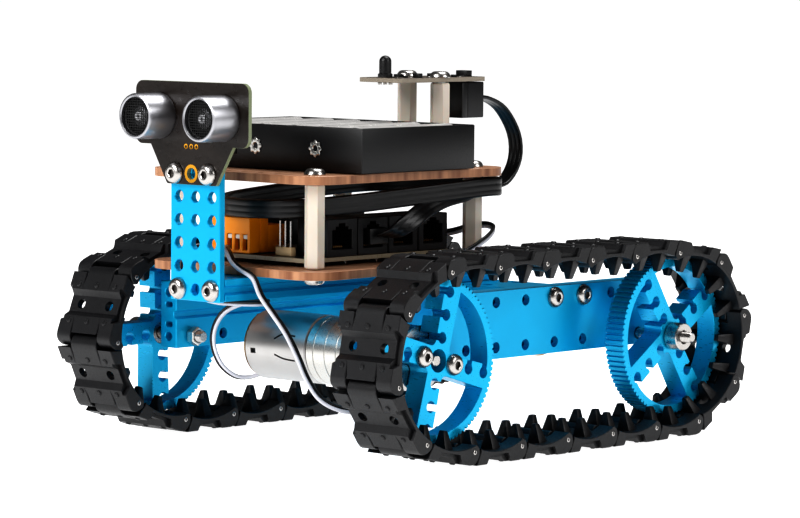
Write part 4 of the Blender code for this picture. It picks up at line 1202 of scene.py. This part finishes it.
def tail_wide(k):
    """On edge along the hoop, its flat turned outward on the way down, then level for its socket."""
    share = k / len(tail_points)
    out, level = ramp(share, 0.45, 0.68), ramp(share, 0.8, 0.97)
    outward = tail_sides[k] * (1 - out) + Vector((-0.52, -0.39, 0.76)) * out
    return outward * (1 - level) + Vector((0, -1, 0.1)) * level


flat_cable("hoop_outer_turn", outer_points, lambda k: on_edge, "cable_hoop")
flat_cable("hoop_inner_turn", inner_points, lambda k: on_edge, "cable_hoop")
x, y, z = span("left_socket_row")[1].x, *tail[-1][1:]
tail_plug = keep("socket_plug", block((x - 5, y - 4.7, z - 3.3), (x + 1.2, y + 4.7, z + 2.4), 0.4), CASE)
flat_cable("hoop_tail", tail_points, tail_wide, "socket_cable", tail_plug)

twin_lead("left_motor_twin", "left_motor_lead", ALONG_X, (
    (-20, -84.2, 72), (-20.4, -90, 71.6), (-20.5, -96.2, 68.6), (-19.6, -97.4, 62), (-17, -93.5, 55.6),
    (-12, -88.5, 52.9), (-5, -84, 52.4), (0.6, -80, 52.4), (0.4, -74.6, 52.4), (-5.5, -73.2, 52.3),
    (-12, -75.2, 51.4), (-17.5, -78, 48.2), (-20.3, -80, 42.8), (-20.8, -80.3, 36.5), (-18.8, -78.6, 29.6),
    (-16.4, -74, 25.2), (-14.6, -68.6, 24.4), (-11.8, -65.4, 25.6)))
twin_lead("right_motor_twin", "right_motor_lead", ALONG_X, (
    (-9.5, -84.2, 72), (-6.5, -88.4, 72), (-1, -92.6, 70.8), (4, -95.6, 68.2), (8.5, -96.6, 66),
    (14.8, -96.4, 63.2), (17.6, -95.4, 57.2), (21.6, -93.4, 51), (26.4, -91.8, 44.4), (31, -90.8, 36.6),
    (35, -90, 28.8), (39.4, -87.6, 22.2), (43.6, -80, 18.4), (44.6, -66, 17.8), (44.8, -52, 19.8),
    (45, -44, 25.6), (45.3, -37, 32.6), (45.4, -28, 38.2), (45.4, -14, 41.2), (45, 4, 42.4), (43, 22, 42),
    (37, 36, 39.8), (28, 47, 36.6), (20, 55.6, 33), (14.6, 61.2, 29), (11.8, 63.4, 26.4)))
twin_lead("battery_twin", "battery_lead", UP, (
    (20.5, -6.6, 74.6), (24, -2.5, 75.5), (26.5, 3.2, 77), (31, 6.2, 77.8), (36.5, 4.6, 77), (39.6, -1, 74.8),
    (41.2, -8, 72.4), (42.3, -14, 70.6), (42.2, -19, 69.3), (38.5, -24, 68.4), (33, -27.5, 68.2)))
